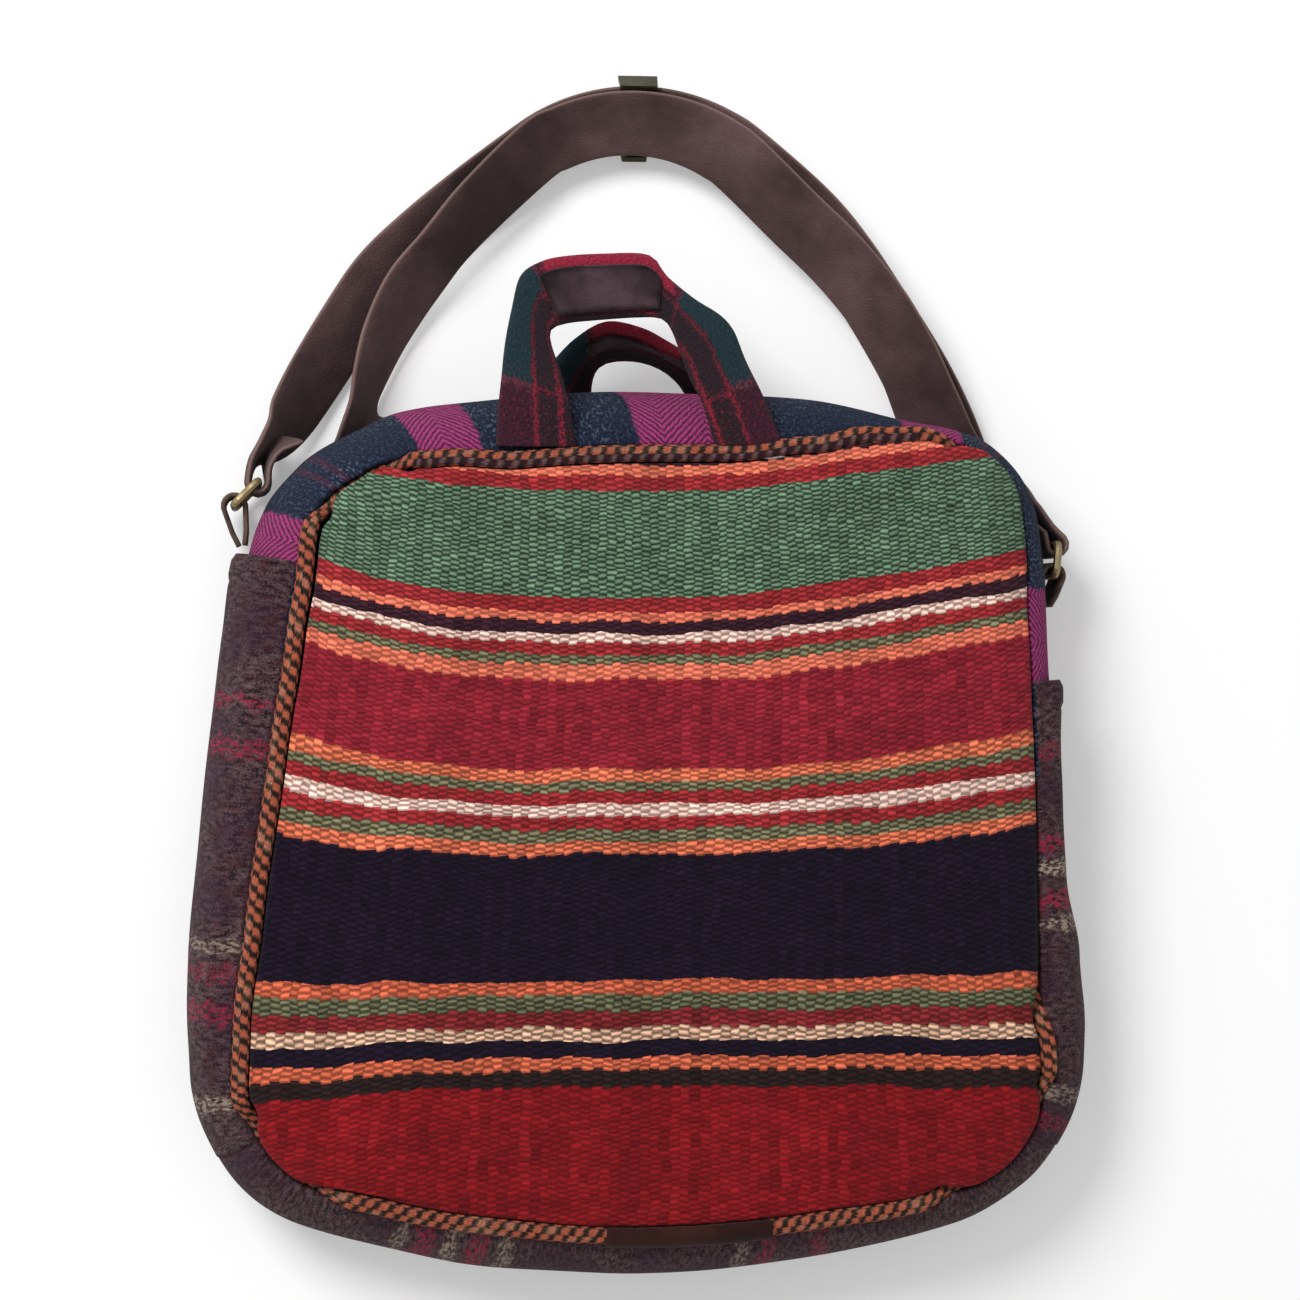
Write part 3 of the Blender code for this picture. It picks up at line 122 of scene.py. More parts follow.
def seen_directly(tree):
    """1 where the camera sees the surface, also in metal or through glass; 0 for its light on others."""
    rays = node(tree, "LightPath").outputs
    seen = calc(tree, "MAXIMUM", rays["Is Camera Ray"], rays["Is Glossy Ray"])
    return calc(tree, "MAXIMUM", seen, rays["Is Transmission Ray"])


def placed(name, data):
    """Object with its data, linked to the scene."""
    made = bpy.data.objects.new(name, data)
    bpy.context.scene.collection.objects.link(made)
    return made


def finished(name, bm):
    """Smooth-shaded object made of a bmesh."""
    mesh = bpy.data.meshes.new(name)
    bm.to_mesh(mesh)
    bm.free()
    mesh.shade_smooth()
    return placed(name, mesh)


def tint(red, green, blue):
    """Linear colour of a photographed one."""
    shares = []
    for value in (red, green, blue):
        share = value / 255.0
        shares.append(share / 12.92 if share <= 0.04045 else ((share + 0.055) / 1.055) ** 2.4)
    return (*shares, 1.0)


camera_data = bpy.data.cameras.new("camera")
camera_data.sensor_width = SENSOR_WIDTH
camera_data.lens = SENSOR_WIDTH * CAMERA_OFFSET.length / FRAME_WIDTH
camera = placed("camera", camera_data)
camera.location = LOOKED_AT + CAMERA_OFFSET
camera_back = CAMERA_OFFSET.normalized()
camera_right = Vector((0.0, 1.0, 0.0)).cross(camera_back).normalized()
camera_turn = Matrix((camera_right, camera_back.cross(camera_right), camera_back)).transposed()
camera.rotation_euler = camera_turn.to_euler()
bpy.context.scene.camera = camera
bpy.context.scene.view_settings.view_transform = "Standard"

world = bpy.data.worlds.new("daylight")
world.use_nodes = True
sky = world.node_tree
background = sky.nodes["Background"]
strength = node(sky, "MapRange", seen_directly(sky), 0.0, 1.0, DAYLIGHT, 1.0).outputs[0]
sky.links.new(strength, background.inputs["Strength"])
background.inputs["Color"].default_value = (1.0, 1.0, 1.0, 1.0)
bpy.context.scene.world = world

lamp_data = bpy.data.lights.new("daylight_lamp", "AREA")
lamp_data.shape = "DISK"
lamp_data.size = LAMP_SIZE
lamp_data.energy = LAMP_POWER
lamp = placed("daylight_lamp", lamp_data)
lamp.location = LAMP_PLACE
lamp.rotation_euler = (LOOKED_AT - LAMP_PLACE).to_track_quat("-Z", "Y").to_euler()

table_bm = bmesh.new()
bmesh.ops.create_grid(table_bm, x_segments=1, y_segments=1, size=TABLE_SIZE / 2)
bmesh.ops.translate(table_bm, verts=table_bm.verts[:], vec=(0.0, 0.0, -TABLE_DROP))
table = finished("table_top", table_bm)
table_paint = bpy.data.materials.new("table_white")
table_paint.use_nodes = True
table_tree = table_paint.node_tree
table_shader = table_tree.nodes["Principled BSDF"]
table_shader.inputs["Base Color"].default_value = TABLE_COLOUR
table_shader.inputs["Roughness"].default_value = 0.9
table_shader.inputs["Specular IOR Level"].default_value = MATTE_SPECULAR
glow = node(table_tree, "Emission", (1.0, 1.0, 1.0, 1.0), seen_directly(table_tree) * TABLE_LIFT)
both = node(table_tree, "AddShader", table_shader.outputs[0], glow.outputs[0])
table_tree.links.new(both.outputs[0], table_tree.nodes["Material Output"].inputs["Surface"])
table.data.materials.append(table_paint)


# Back panel
# Plain navy wool over thin padding, sewn to the gusset all round. It carries the bag on the table, and its
# top lies over the strap. The outline and the half-round edge of the whole body are set out here.

TOP_Y = 0.150
BOTTOM_Y = -0.150
TOP_RADIUS = 0.520
# Per side: half width, widest height, side radius, top corner, bottom corner, bottom radius
RIGHT_OUTLINE = (0.1505, -0.100, 1.400, 0.046, 0.058, 0.400)
LEFT_OUTLINE = (0.1490, -0.062, 0.700, 0.062, 0.055, 0.325)
# How far each soft side swells or sinks: height over the bag's middle, and amount
LEFT_SWELL = (
    (-0.1505, 0.0),
    (-0.143, 0.0014),
    (-0.130, 0.0024),
    (-0.100, 0.0016),
    (-0.070, 0.0004),
    (-0.040, 0.0),
    (0.000, -0.0012),
    (0.035, -0.0010),
    (0.080, 0.0010),
    (0.110, 0.0),
    (0.1250, -0.0012),
    (0.1390, -0.0028),
    (0.1460, -0.0006),
    (0.1505, 0.0),
)
RIGHT_SWELL = (
    (-0.130, 0.0),
    (-0.115, 0.0012),
    (-0.092, 0.0022),
    (-0.068, 0.0018),
    (-0.042, -0.0002),
    (-0.015, -0.0044),
    (0.005, -0.0050),
    (0.020, -0.0046),
    (0.050, -0.0030),
    (0.095, 0.0),
    (0.115, 0.0),
    (0.1320, -0.0008),
    (0.1420, -0.0028),
    (0.1470, 0.0),
)
SEAM_HEIGHT = 0.057
BULGE = 0.028
STRAP_LIFT = 0.0075
LIFT_FROM_Y = 0.020
LIFT_TO_Y = 0.100
# The front lies a little to the right of the back: by how much, and between which heights that grows
SHIFT_BOTTOM = 0.0012
SHIFT_TOP = 0.0072
SHIFT_FROM_Y = -0.080
SHIFT_OVER = 0.170
# Its top right corner lies further up, the more so the nearer to that corner
RIGHT_CORNER_RISE = 0.006
RISE_OVER_X = 0.1
RISE_OVER_Y = 0.12
BODY_MIDDLE = Vector((0.0, 0.0, 0.028))
# Halvings in the search for a distance, and how far past its ends an arc still counts
HALVINGS = 32
ARC_SLACK = 0.001
BACK_EDGE = math.radians(-70.5)
BACK_THICKNESS = 0.0022
BACK_GRID = (44, 60)
BACK_CHART = 0.26
NAVY = tint(32, 43, 72)
NAVY_DARK = tint(18, 24, 40)
NAVY_FLECK = tint(96, 112, 132)


def smooth(value):
    value = min(max(value, 0.0), 1.0)
    return value * value * (3.0 - 2.0 * value)


def between(table, place, ease=float, column=1):
    """Value of a rising table at a place, eased between its rows; the end rows hold beyond its ends."""
    index = bisect.bisect_left(table, (place,))
    if index in (0, len(table)):
        return table[min(index, len(table) - 1)][column]
    low, high = table[index - 1], table[index]
    share = ease((place - low[0]) / (high[0] - low[0]))
    return low[column] + (high[column] - low[column]) * share


def touching_centre(first, first_radius, second, second_radius, radius, upward):
    """Centre of the corner arc that touches two large arcs from inside."""
    reach, other = first_radius - radius, second_radius - radius
    across = second - first
    along = (reach * reach - other * other + across.length_squared) / (2.0 * across.length)
    unit = across.normalized()
    aside = Vector((-unit.y, unit.x, 0.0)) * math.sqrt(reach * reach - along * along)
    choices = (first + unit * along + aside, first + unit * along - aside)
    return max(choices, key=lambda point: point.x + (point.y if upward else -point.y))


def heading(start, end):
    return math.atan2(end.y - start.y, end.x - start.x)


def half_outline(half_width, widest_y, side_radius, top_corner, bottom_corner, bottom_radius):
    """Arcs of one half, from the top's middle to the bottom's: centre, radius, start and end angle."""
    top = Vector((0.0, TOP_Y - TOP_RADIUS, 0.0))
    side = Vector((half_width - side_radius, widest_y, 0.0))
    bottom = Vector((0.0, BOTTOM_Y + bottom_radius, 0.0))
    upper = touching_centre(top, TOP_RADIUS, side, side_radius, top_corner, True)
    lower = touching_centre(side, side_radius, bottom, bottom_radius, bottom_corner, False)
    return (
        (top, TOP_RADIUS, math.pi / 2, heading(top, upper)),
        (upper, top_corner, heading(top, upper), heading(side, upper)),
        (side, side_radius, heading(side, upper), heading(side, lower)),
        (lower, bottom_corner, heading(side, lower), heading(bottom, lower)),
        (bottom, bottom_radius, heading(bottom, lower), -math.pi / 2),
    )


HALVES = {1: half_outline(*RIGHT_OUTLINE), -1: half_outline(*LEFT_OUTLINE)}
LENGTHS = {side: sum(arc[1] * abs(arc[3] - arc[2]) for arc in arcs) for side, arcs in HALVES.items()}
PERIMETER = LENGTHS[1] + LENGTHS[-1]


def lift(y):
    return STRAP_LIFT * smooth((y - LIFT_FROM_Y) / (LIFT_TO_Y - LIFT_FROM_Y))


def lean(point, share):
    """Point moved by a share of the front's shift against the back."""
    slide = SHIFT_BOTTOM + (SHIFT_TOP - SHIFT_BOTTOM) * smooth((point.y - SHIFT_FROM_Y) / SHIFT_OVER)
    rise = RIGHT_CORNER_RISE * smooth(point.x / RISE_OVER_X) * smooth(point.y / RISE_OVER_Y)
    return point + Vector((slide, rise, 0.0)) * share


def swell(side, y):
    return between(RIGHT_SWELL if side > 0 else LEFT_SWELL, y, smooth)


def rim(distance, angle, out=0.0):
    """Point of the body's edge, a distance clockwise from the top's middle, and an angle up its section."""
    distance %= PERIMETER
    side, walk = (1, distance) if distance <= LENGTHS[1] else (-1, PERIMETER - distance)
    for centre, radius, start, end in HALVES[side]:
        length = radius * abs(end - start)
        if walk <= length + 1e-9:
            turn = start + (end - start) * walk / length
            break
        walk -= length
    reach = radius - BULGE + (BULGE + out) * math.cos(angle)
    reach += swell(side, centre.y + radius * math.sin(turn)) * math.cos(angle) ** 3
    y = centre.y + reach * math.sin(turn)
    half = (SEAM_HEIGHT - lift(y)) / 2
    height = lift(y) + half + (half + out) * math.sin(angle)
    return Vector((side * (centre.x + reach * math.cos(turn)), y, height))


def edge_point(distance, angle, out=0.0):
    return lean(rim(distance, angle, out), max(0.0, math.sin(angle)))


def fixed_edge(angle):
    """Edge that lies at one angle of the section, all round the body."""
    return lambda distance: angle


@functools.cache
def side_distance(y, side, edge=fixed_edge(0.0)):
    """Signed distance round the body at which one side, or an edge on it, has a height."""
    low, high = 0.0, LENGTHS[side]
    for _ in range(HALVINGS):
        middle = (low + high) / 2
        low, high = (middle, high) if rim(side * middle, edge(side * middle)).y > y else (low, middle)
    return side * low


def face_height(x, y, front):
    """Height of the front or back face over a point of the plan."""
    point = Vector((abs(x), y, 0.0))
    found = [BULGE]
    for centre, radius, start, end in HALVES[1 if x >= 0 else -1]:
        if end - ARC_SLACK <= heading(centre, point) <= start + ARC_SLACK:
            found.append(radius - (point - centre).length)
    share = max(0.0, 1.0 - min(found) / BULGE)
    half = (SEAM_HEIGHT - lift(y)) / 2
    return lift(y) + half + (1.0 if front else -1.0) * half * math.sqrt(max(0.0, 1.0 - share * share))


@functools.cache
def row_ends(end_y, edge):
    left, right = side_distance(end_y, -1, edge), side_distance(end_y, 1, edge)
    return rim(left, edge(left)), rim(right, edge(right))


def charted_grid(columns, rows, place, measure, closed=False):
    """Grid of points and cloth coordinates, got from shares of its sides; closed joins its long edges."""
    bm = bmesh.new()
    chart = bm.loops.layers.uv.new("cloth")
    bmesh.ops.create_grid(bm, x_segments=columns, y_segments=rows, size=0.5)
    shares = {}
    for vert in bm.verts:
        shares[vert] = round((vert.co.x + 0.5) * columns), round((vert.co.y + 0.5) * rows)
    for face in bm.faces:
        for loop in face.loops:
            column, row = shares[loop.vert]
            loop[chart].uv = measure(column / columns, row / rows)
    for vert, (column, row) in shares.items():
        vert.co = place(column / columns, (row % rows if closed else row) / rows)
    return bm


def cloth_piece(name, columns, rows, place, measure, thickness, inside=BODY_MIDDLE):
    """Sheet of cloth whose outer face looks away from a point inside, and whose thickness lies under it."""
    bm = charted_grid(columns, rows, place, measure)
    bm.normal_update()
    facing = 0.0
    for face in bm.faces:
        facing += (face.calc_center_median() - inside).dot(face.normal) * face.calc_area()
    if facing < 0:
        bmesh.ops.reverse_faces(bm, faces=bm.faces[:])
    piece = finished(name, bm)
    wall = piece.modifiers.new("thickness", "SOLIDIFY")
    wall.thickness = thickness
    wall.offset = -1.0
    return piece


def dressed(piece, material, packed):
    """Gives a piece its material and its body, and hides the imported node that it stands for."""
    piece.data.materials.append(material)
    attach(piece, "bag")
    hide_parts(packed)


def ripple(point, size, seed=0.0):
    """Soft uneven folds, from -1 to 1."""
    return noise.noise(Vector((point.x / size, point.y / size, point.z / size + seed)))


class Finish:
    """A material under construction: its node tree and the cloth coordinates along and across the piece."""

    def __init__(self, name, roughness, sheen=0.0):
        self.material = bpy.data.materials.new(name)
        self.material.use_nodes = True
        self.tree = self.material.node_tree
        self.shader = self.tree.nodes["Principled BSDF"]
        self.shader.inputs["Roughness"].default_value = roughness
        self.shader.inputs["Sheen Weight"].default_value = sheen
        self.shader.inputs["Specular IOR Level"].default_value = MATTE_SPECULAR
        self.chart = self.value("UVMap", uv_map="cloth")
        self.along, self.across, _ = self.parts(self.chart)

    def value(self, kind, *inputs, **settings):
        """First output of a new shader node."""
        return Value(self.tree, node(self.tree, kind, *inputs, **settings).outputs[0])

    def parts(self, place):
        return [Value(self.tree, part) for part in node(self.tree, "SeparateXYZ", place).outputs]

    def calc(self, operation, *values):
        return calc(self.tree, operation, *values)

    def grain(self, scale, detail=2.0, where=None, stretch=None):
        """Noise from 0 to 1 on cloth or object coordinates."""
        place = self.chart if where is None else where
        if stretch is not None:
            place = self.value("Mapping", place, None, None, stretch)
        return self.value("TexNoise", place, None, scale, detail)

    def solid(self):
        """Object coordinates."""
        return node(self.tree, "TexCoord").outputs["Object"]

    def mix(self, factor, first, second, blend="MIX"):
        made = self.tree.nodes.new("ShaderNodeMix")
        made.data_type = "RGBA"
        made.blend_type = blend
        for index, value in ((0, factor), (6, first), (7, second)):
            feed(self.tree, made.inputs[index], value)
        return made.outputs[2]

    def spread(self, value, low, high, to_low=0.0, to_high=1.0):
        return self.value("MapRange", value, low, high, to_low, to_high)

    def multiplied(self, colour, share):
        grey = self.value("CombineColor", share, share, share)
        return self.mix(1.0, colour, grey, "MULTIPLY")

    def shade(self, colour, low, high, value):
        """Colour made darker and lighter by a value from 0 to 1."""
        return self.multiplied(colour, self.spread(value, 0.0, 1.0, low, high))

    def done(self, colour, height, distance):
        """The material, in its colour and with its relief."""
        bump = node(self.tree, "Bump")
        feed(self.tree, bump.inputs["Distance"], distance)
        feed(self.tree, bump.inputs["Height"], height)
        feed(self.tree, self.shader.inputs["Base Color"], colour)
        feed(self.tree, self.shader.inputs["Normal"], bump.outputs[0])
        return self.material


def wool_twill(name, pitch=0.0016, column=0.015):
    """Starts a wool finish with its twill lines, which change direction in herringbone columns."""
    finish = Finish(name, 0.95, 0.05)
    fold = finish.calc("PINGPONG", finish.along, column)
    slope = fold + finish.across
    wobble = finish.grain(520.0, 3.0) * 0.0016
    turns = (slope + wobble) * (2.0 * math.pi / pitch)
    line = finish.spread(finish.calc("SINE", turns), -1.0, 1.0)
    return finish, line


def woolly(finish, line, share):
    """Twill lines blurred by the wool's nap."""
    nap = finish.spread(finish.grain(1100.0, 4.0), 0.32, 0.68)
    return line * share + nap * (1.0 - share)


def navy_wool():
    finish, line = wool_twill("navy_wool")
    line = woolly(finish, line, 0.1)
    fleck = finish.spread(finish.grain(1500.0, 1.0), 0.58, 0.76)
    colour = finish.mix(line, NAVY_DARK, NAVY)
    colour = finish.mix(fleck * 0.55, colour, NAVY_FLECK)
    height = line + finish.grain(1800.0, 2.0)
    return finish.done(colour, height, 0.0003)


back_edge = fixed_edge(BACK_EDGE)


def back_place(across, down):
    top, bottom = rim(0.0, BACK_EDGE).y, rim(LENGTHS[1], BACK_EDGE).y
    y = top + (bottom - top) * down
    left, right = row_ends(y, back_edge)
    x = left.x + (right.x - left.x) * across
    return Vector((x, y, face_height(x, y, False)))


def back_measure(across, down):
    return BACK_CHART * across, BACK_CHART * down


back = cloth_piece("back_wool", *BACK_GRID, back_place, back_measure, BACK_THICKNESS)
dressed(back, navy_wool(), "back_panel")


# Lower gusset and side pockets
# A padded band of plaid tweed round both sides and the bottom. A slip pocket of the same tweed lies on each
# side, sewn down except at its lip; the right lip stands a little open.

GUSSET_THICKNESS = 0.0022
GUSSET_FRONT_EDGE = math.radians(60.5)
# How far the front seam is drawn in (above 0) or let out: place clockwise from the top's middle, degrees
SEAM_TURNS = (
    (-0.470, 0.0),
    (-0.425, -4.0),
    (-0.385, -10.0),
    (-0.350, -9.0),
    (-0.315, -6.0),
    (-0.280, -1.0),
    (-0.240, 0.0),
    (-0.200, -2.5),
    (-0.170, -6.0),
    (-0.132, -14.0),
    (-0.108, -7.0),
    (-0.080, 4.0),
    (-0.050, 12.0),
    (0.025, 12.0),
    (0.052, 6.0),
    (0.072, -4.0),
    (0.098, -12.0),
    (0.130, -12.0),
    (0.160, -7.0),
    (0.190, -1.5),
    (0.220, 0.0),
    (0.300, 0.0),
    (0.345, -6.0),
    (0.385, -8.0),
    (0.425, -5.0),
    (0.465, 0.0),
)
GUSSET_BACK_EDGE = math.radians(-68.0)
GUSSET_GAP = 0.0003
GUSSET_GRID = (380, 44)
# Radius that turns an angle of the section into a width of cloth
SECTION_RADIUS = 0.0265
PADDING_DROP = 0.0007
PADDING_WAVE = 0.0006
PADDING_WAVE_SIZE = 0.035
# Where the soft seam is rolled under, so that the panel's edge lies over the welt: start, end and fade
TUCKS = (
    (0.090, side_distance(-0.070, 1), 0.018),
    (side_distance(-0.078, 1), LENGTHS[1] - 0.096, 0.016),
    (LENGTHS[1] + 0.104, PERIMETER + side_distance(-0.088, -1), 0.016),
    (PERIMETER - 0.142, PERIMETER - 0.088, 0.012),
)
TUCK_GUSSET_TURN = math.radians(4.5)
TOP_GUSSET_LEFT_Y = 0.062
TOP_GUSSET_RIGHT_Y = 0.020
POCKET_GAP = 0.0007
POCKET_THICKNESS = 0.0020
POCKET_HALF_ANGLE = math.radians(50.0)
POCKET_SEAM_TURN = math.radians(1.5)
POCKET_SEAM_TAPER = math.radians(22.0)
POCKET_SEAM_OUT = 0.0004
POCKET_BOTTOM_Y = -0.108
POCKET_TAPER_LENGTH = 0.055
POCKET_GRID = (170, 40)
# Each lip's height, and how far down its flare reaches
LEFT_LIP = (0.0935, 0.028)
RIGHT_LIP = (0.0507, 0.020)
LIP_FLARE = 0.0010
LIP_ROUNDING = 0.0010
LIP_ROUNDING_LENGTH = 0.0025
# The hem's depth, where its step starts before that, and the step's width and height
HEM_DEPTH = 0.009
HEM_LEAD = 0.001
HEM_STEP = 0.0012
HEM_HEIGHT = 0.0005
STITCH_DEPTH = 0.0004
STITCH_WIDTH = 0.0007
FOLD_HEIGHT = 0.0004
FOLD_SIZE = 0.028
PUCKER_PITCH = 0.0052
PUCKER_HEIGHT = 0.00028
PUCKER_DRIFT = 2.2
PUCKER_DRIFT_SIZE = 0.03
PUCKERS_FROM = math.radians(32.0)

TWEED_DARK = tint(34, 22, 28)
TWEED_LIGHT = tint(106, 82, 84)
TWEED_PLUM = tint(52, 28, 46)
TWEED_RUST = tint(66, 30, 32)
TWEED_CRIMSON = tint(156, 34, 66)
TWEED_BEIGE = tint(190, 172, 150)
# Broken bands across the tweed: place, half width, dye and strength. The place is a height on the right
# or left side, and at the bottom a distance clockwise from its middle
RIGHT_BANDS = (
    (0.028, 0.0035, TWEED_CRIMSON, 0.55),
    (-0.003, 0.0040, TWEED_CRIMSON, 0.90),
    (-0.011, 0.0032, TWEED_BEIGE, 0.70),
    (-0.022, 0.0040, TWEED_CRIMSON, 0.90),
    (-0.030, 0.0032, TWEED_BEIGE, 0.65),
    (-0.090, 0.0035, TWEED_BEIGE, 0.45),
    (-0.102, 0.0040, TWEED_CRIMSON, 0.60),
)
BOTTOM_BANDS = (
    (-0.060, 0.0040, TWEED_CRIMSON, 0.55),
    (-0.042, 0.0040, TWEED_CRIMSON, 0.65),
    (-0.033, 0.0030, TWEED_BEIGE, 0.40),
    (0.048, 0.0030, TWEED_BEIGE, 0.50),
    (0.058, 0.0042, TWEED_CRIMSON, 0.75),
    (0.067, 0.0032, TWEED_BEIGE, 0.60),
    (0.076, 0.0045, TWEED_CRIMSON, 0.80),
    (0.084, 0.0028, TWEED_BEIGE, 0.45),
)
LEFT_BANDS = (
    (-0.090, 0.0034, TWEED_BEIGE, 0.55),
    (-0.058, 0.0045, TWEED_CRIMSON, 0.65),
    (-0.045, 0.0040, TWEED_CRIMSON, 0.50),
    (-0.036, 0.0026, TWEED_BEIGE, 0.40),
    (0.030, 0.0040, TWEED_CRIMSON, 0.70),
    (0.046, 0.0028, TWEED_CRIMSON, 0.60),
)


def tweed_bands():
    """All bands, with their places clockwise from the top's middle."""
    bands = [(side_distance(y, 1), *band) for y, *band in RIGHT_BANDS]
    bands += [(LENGTHS[1] + place, *band) for place, *band in BOTTOM_BANDS]
    bands += [(PERIMETER + side_distance(y, -1), *band) for y, *band in LEFT_BANDS]
    return bands


def plaid_tweed():
    """Salt-and-pepper tweed of short streaks, crossed by broken crimson and beige bands."""
    finish = Finish("plaid_tweed", 0.95, 0.05)
    around = finish.along % PERIMETER
    streaks = finish.grain(720.0, 3.0, None, (1.0, 0.42, 1.0))
    pepper = finish.grain(1500.0, 2.0)
    tone = finish.grain(34.0, 2.0)
    salt = finish.spread(streaks + pepper * 0.6, 0.66, 1.0)
    colour = finish.mix(salt, TWEED_DARK, TWEED_LIGHT)
    colour = finish.mix(finish.spread(tone, 0.42, 0.60, 0.0, 0.6), colour, TWEED_PLUM)
    colour = finish.mix(finish.spread(finish.grain(210.0, 2.0), 0.52, 0.66, 0.0, 0.5), colour, TWEED_RUST)
    sway = (finish.grain(160.0, 3.0) - 0.5) * 0.01
    broken = finish.spread(finish.grain(950.0, 2.0, None, (1.0, 0.42, 1.0)), 0.44, 0.58)
    for place, half_width, dye, share in tweed_bands():
        off = abs(around + sway - place)
        band = finish.spread(off, half_width, half_width * 0.5) * share
        colour = finish.mix(band * broken, colour, dye)
    colour = finish.shade(colour, 0.60, 1.35, pepper)
    height = streaks * 1.5 + pepper
    return finish.done(colour, height, 0.0007)


def seam_turn(distance):
    """Angle by which the front seam is drawn in or let out."""
    place = (distance + PERIMETER / 2) % PERIMETER - PERIMETER / 2
    return math.radians(between(SEAM_TURNS, place, smooth))


def tuck(distance, inset):
    """Share by which the seam is rolled under; inset shortens each stretch by so many of its fades."""
    distance %= PERIMETER
    rolled = 0.0
    for start, end, fade in TUCKS:
        rising = smooth((distance - start - inset * fade) / fade)
        rolled = max(rolled, rising * smooth((end - inset * fade - distance) / fade))
    return rolled


def gusset_edge(distance):
    return GUSSET_FRONT_EDGE + seam_turn(distance) + TUCK_GUSSET_TURN * tuck(distance, 0.0)


def gusset_out(distance, angle, point):
    """Uneven padding: broad hollows, and small puckers where the seams gather the cloth."""
    near_seam = smooth((angle - PUCKERS_FROM) / (gusset_edge(distance) - PUCKERS_FROM))
    drift = PUCKER_DRIFT * ripple(point, PUCKER_DRIFT_SIZE)
    pucker = math.sin(2.0 * math.pi * distance / PUCKER_PITCH + drift) * near_seam
    return PADDING_WAVE * ripple(point, PADDING_WAVE_SIZE) + PUCKER_HEIGHT * pucker - PADDING_DROP


def band_piece(name, start, end, columns, rows, low, high, thickness, out):
    """Strip of cloth round the body's edge, from one distance to another, between two edges."""

    def spot(along, across):
        distance = start + (end - start) * along
        return distance, low(distance) + (high(distance) - low(distance)) * across

    def place(along, across):
        distance, angle = spot(along, across)
        return edge_point(distance, angle, out(distance, angle, rim(distance, angle)))

    def measure(along, across):
        distance, angle = spot(along, across)
        return distance, SECTION_RADIUS * angle

    return cloth_piece(name, columns, rows, place, measure, thickness)


gusset_left = side_distance(TOP_GUSSET_LEFT_Y, -1)
gusset_right = side_distance(TOP_GUSSET_RIGHT_Y, 1)
tweed = plaid_tweed()
lower = band_piece(
    "lower_gusset_tweed",
    gusset_right + GUSSET_GAP,
    PERIMETER + gusset_left - GUSSET_GAP,
    *GUSSET_GRID,
    fixed_edge(GUSSET_BACK_EDGE),
    gusset_edge,
    GUSSET_THICKNESS,
    gusset_out,
)
dressed(lower, tweed, "lower_gusset")


def pocket_piece(name, side, lip_y, flare_length):
    """Pocket with a stitched hem at its lip, which stands off the more the nearer to its middle."""
    lip = side_distance(lip_y, side)
    bottom = side_distance(POCKET_BOTTOM_Y, side)

    def front_edge(distance):
        return gusset_edge(distance) - POCKET_SEAM_TURN

    def out(distance, angle, point):
        front = front_edge(distance)
        turn = angle / (front if angle > 0 else POCKET_HALF_ANGLE)
        down = abs(distance - lip)
        opening = LIP_FLARE * (1.0 - turn**4) * (1.0 - smooth(down / flare_length))
        hem = HEM_HEIGHT * (1.0 - smooth((down - HEM_DEPTH + HEM_LEAD) / HEM_STEP))
        rounding = -LIP_ROUNDING * (1.0 - smooth(down / LIP_ROUNDING_LENGTH))
        stitch = -STITCH_DEPTH * math.exp(-(((down - HEM_DEPTH) / STITCH_WIDTH) ** 2))
        folds = FOLD_HEIGHT * ripple(point, FOLD_SIZE, seed=4.0) * (1.0 - turn**6)
        proud = POCKET_GAP + opening + POCKET_THICKNESS + hem + rounding + stitch + folds
        from_seam = smooth((front - angle) / POCKET_SEAM_TAPER)
        from_bottom = smooth(abs(distance - bottom) / POCKET_TAPER_LENGTH)
        flat = gusset_out(distance, angle, point) + POCKET_SEAM_OUT
        return flat + (proud - flat) * (from_seam * from_bottom)

    rear_edge = fixed_edge(-POCKET_HALF_ANGLE)
    return band_piece(name, lip, bottom, *POCKET_GRID, rear_edge, front_edge, POCKET_THICKNESS, out)


left_pocket = pocket_piece("left_pocket_tweed", -1, *LEFT_LIP)
right_pocket = pocket_piece("right_pocket_tweed", 1, *RIGHT_LIP)
dressed(left_pocket, tweed, "left_pocket")
dressed(right_pocket, tweed, "right_pocket")


# Top gusset
# Two strips of herringbone wool, navy with magenta blocks, between the front seam and the back one.
# The zip lies between them, turned to the back.

ZIP_ANGLE = math.radians(-30.0)
ZIP_HALF_SLOT = 0.0055
SLOT_HALF_LENGTH = 0.080
SLOT_CLOSING_LENGTH = 0.012
CLOSED_HALF_SLOT = 0.0003
TOP_FRONT_GRID = (260, 40)
TOP_REAR_GRID = (260, 16)
MAGENTA = tint(180, 66, 128)
MAGENTA_DARK = tint(98, 34, 76)
CORNER_RED = tint(122, 34, 58)
# Magenta blocks by their place along the top, clockwise from its middle: start and width
MAGENTA_BLOCKS = (
    (side_distance(0.092, -1), side_distance(0.109, -1) - side_distance(0.092, -1)),
    (-0.086, 0.0235),
    (-0.010, 0.0285),
    (0.084, 0.024),
    (side_distance(0.081, 1), side_distance(0.050, 1) - side_distance(0.081, 1)),
)
CORNER_LINES = (-0.118, -0.124, 0.118, 0.124)
CORNER_LINE_HALF_WIDTH = 0.0014


def slot_half_angle(distance):
    closing = smooth((SLOT_HALF_LENGTH + SLOT_CLOSING_LENGTH - abs(distance)) / SLOT_CLOSING_LENGTH)
    return (CLOSED_HALF_SLOT + (ZIP_HALF_SLOT - CLOSED_HALF_SLOT) * closing) / BULGE


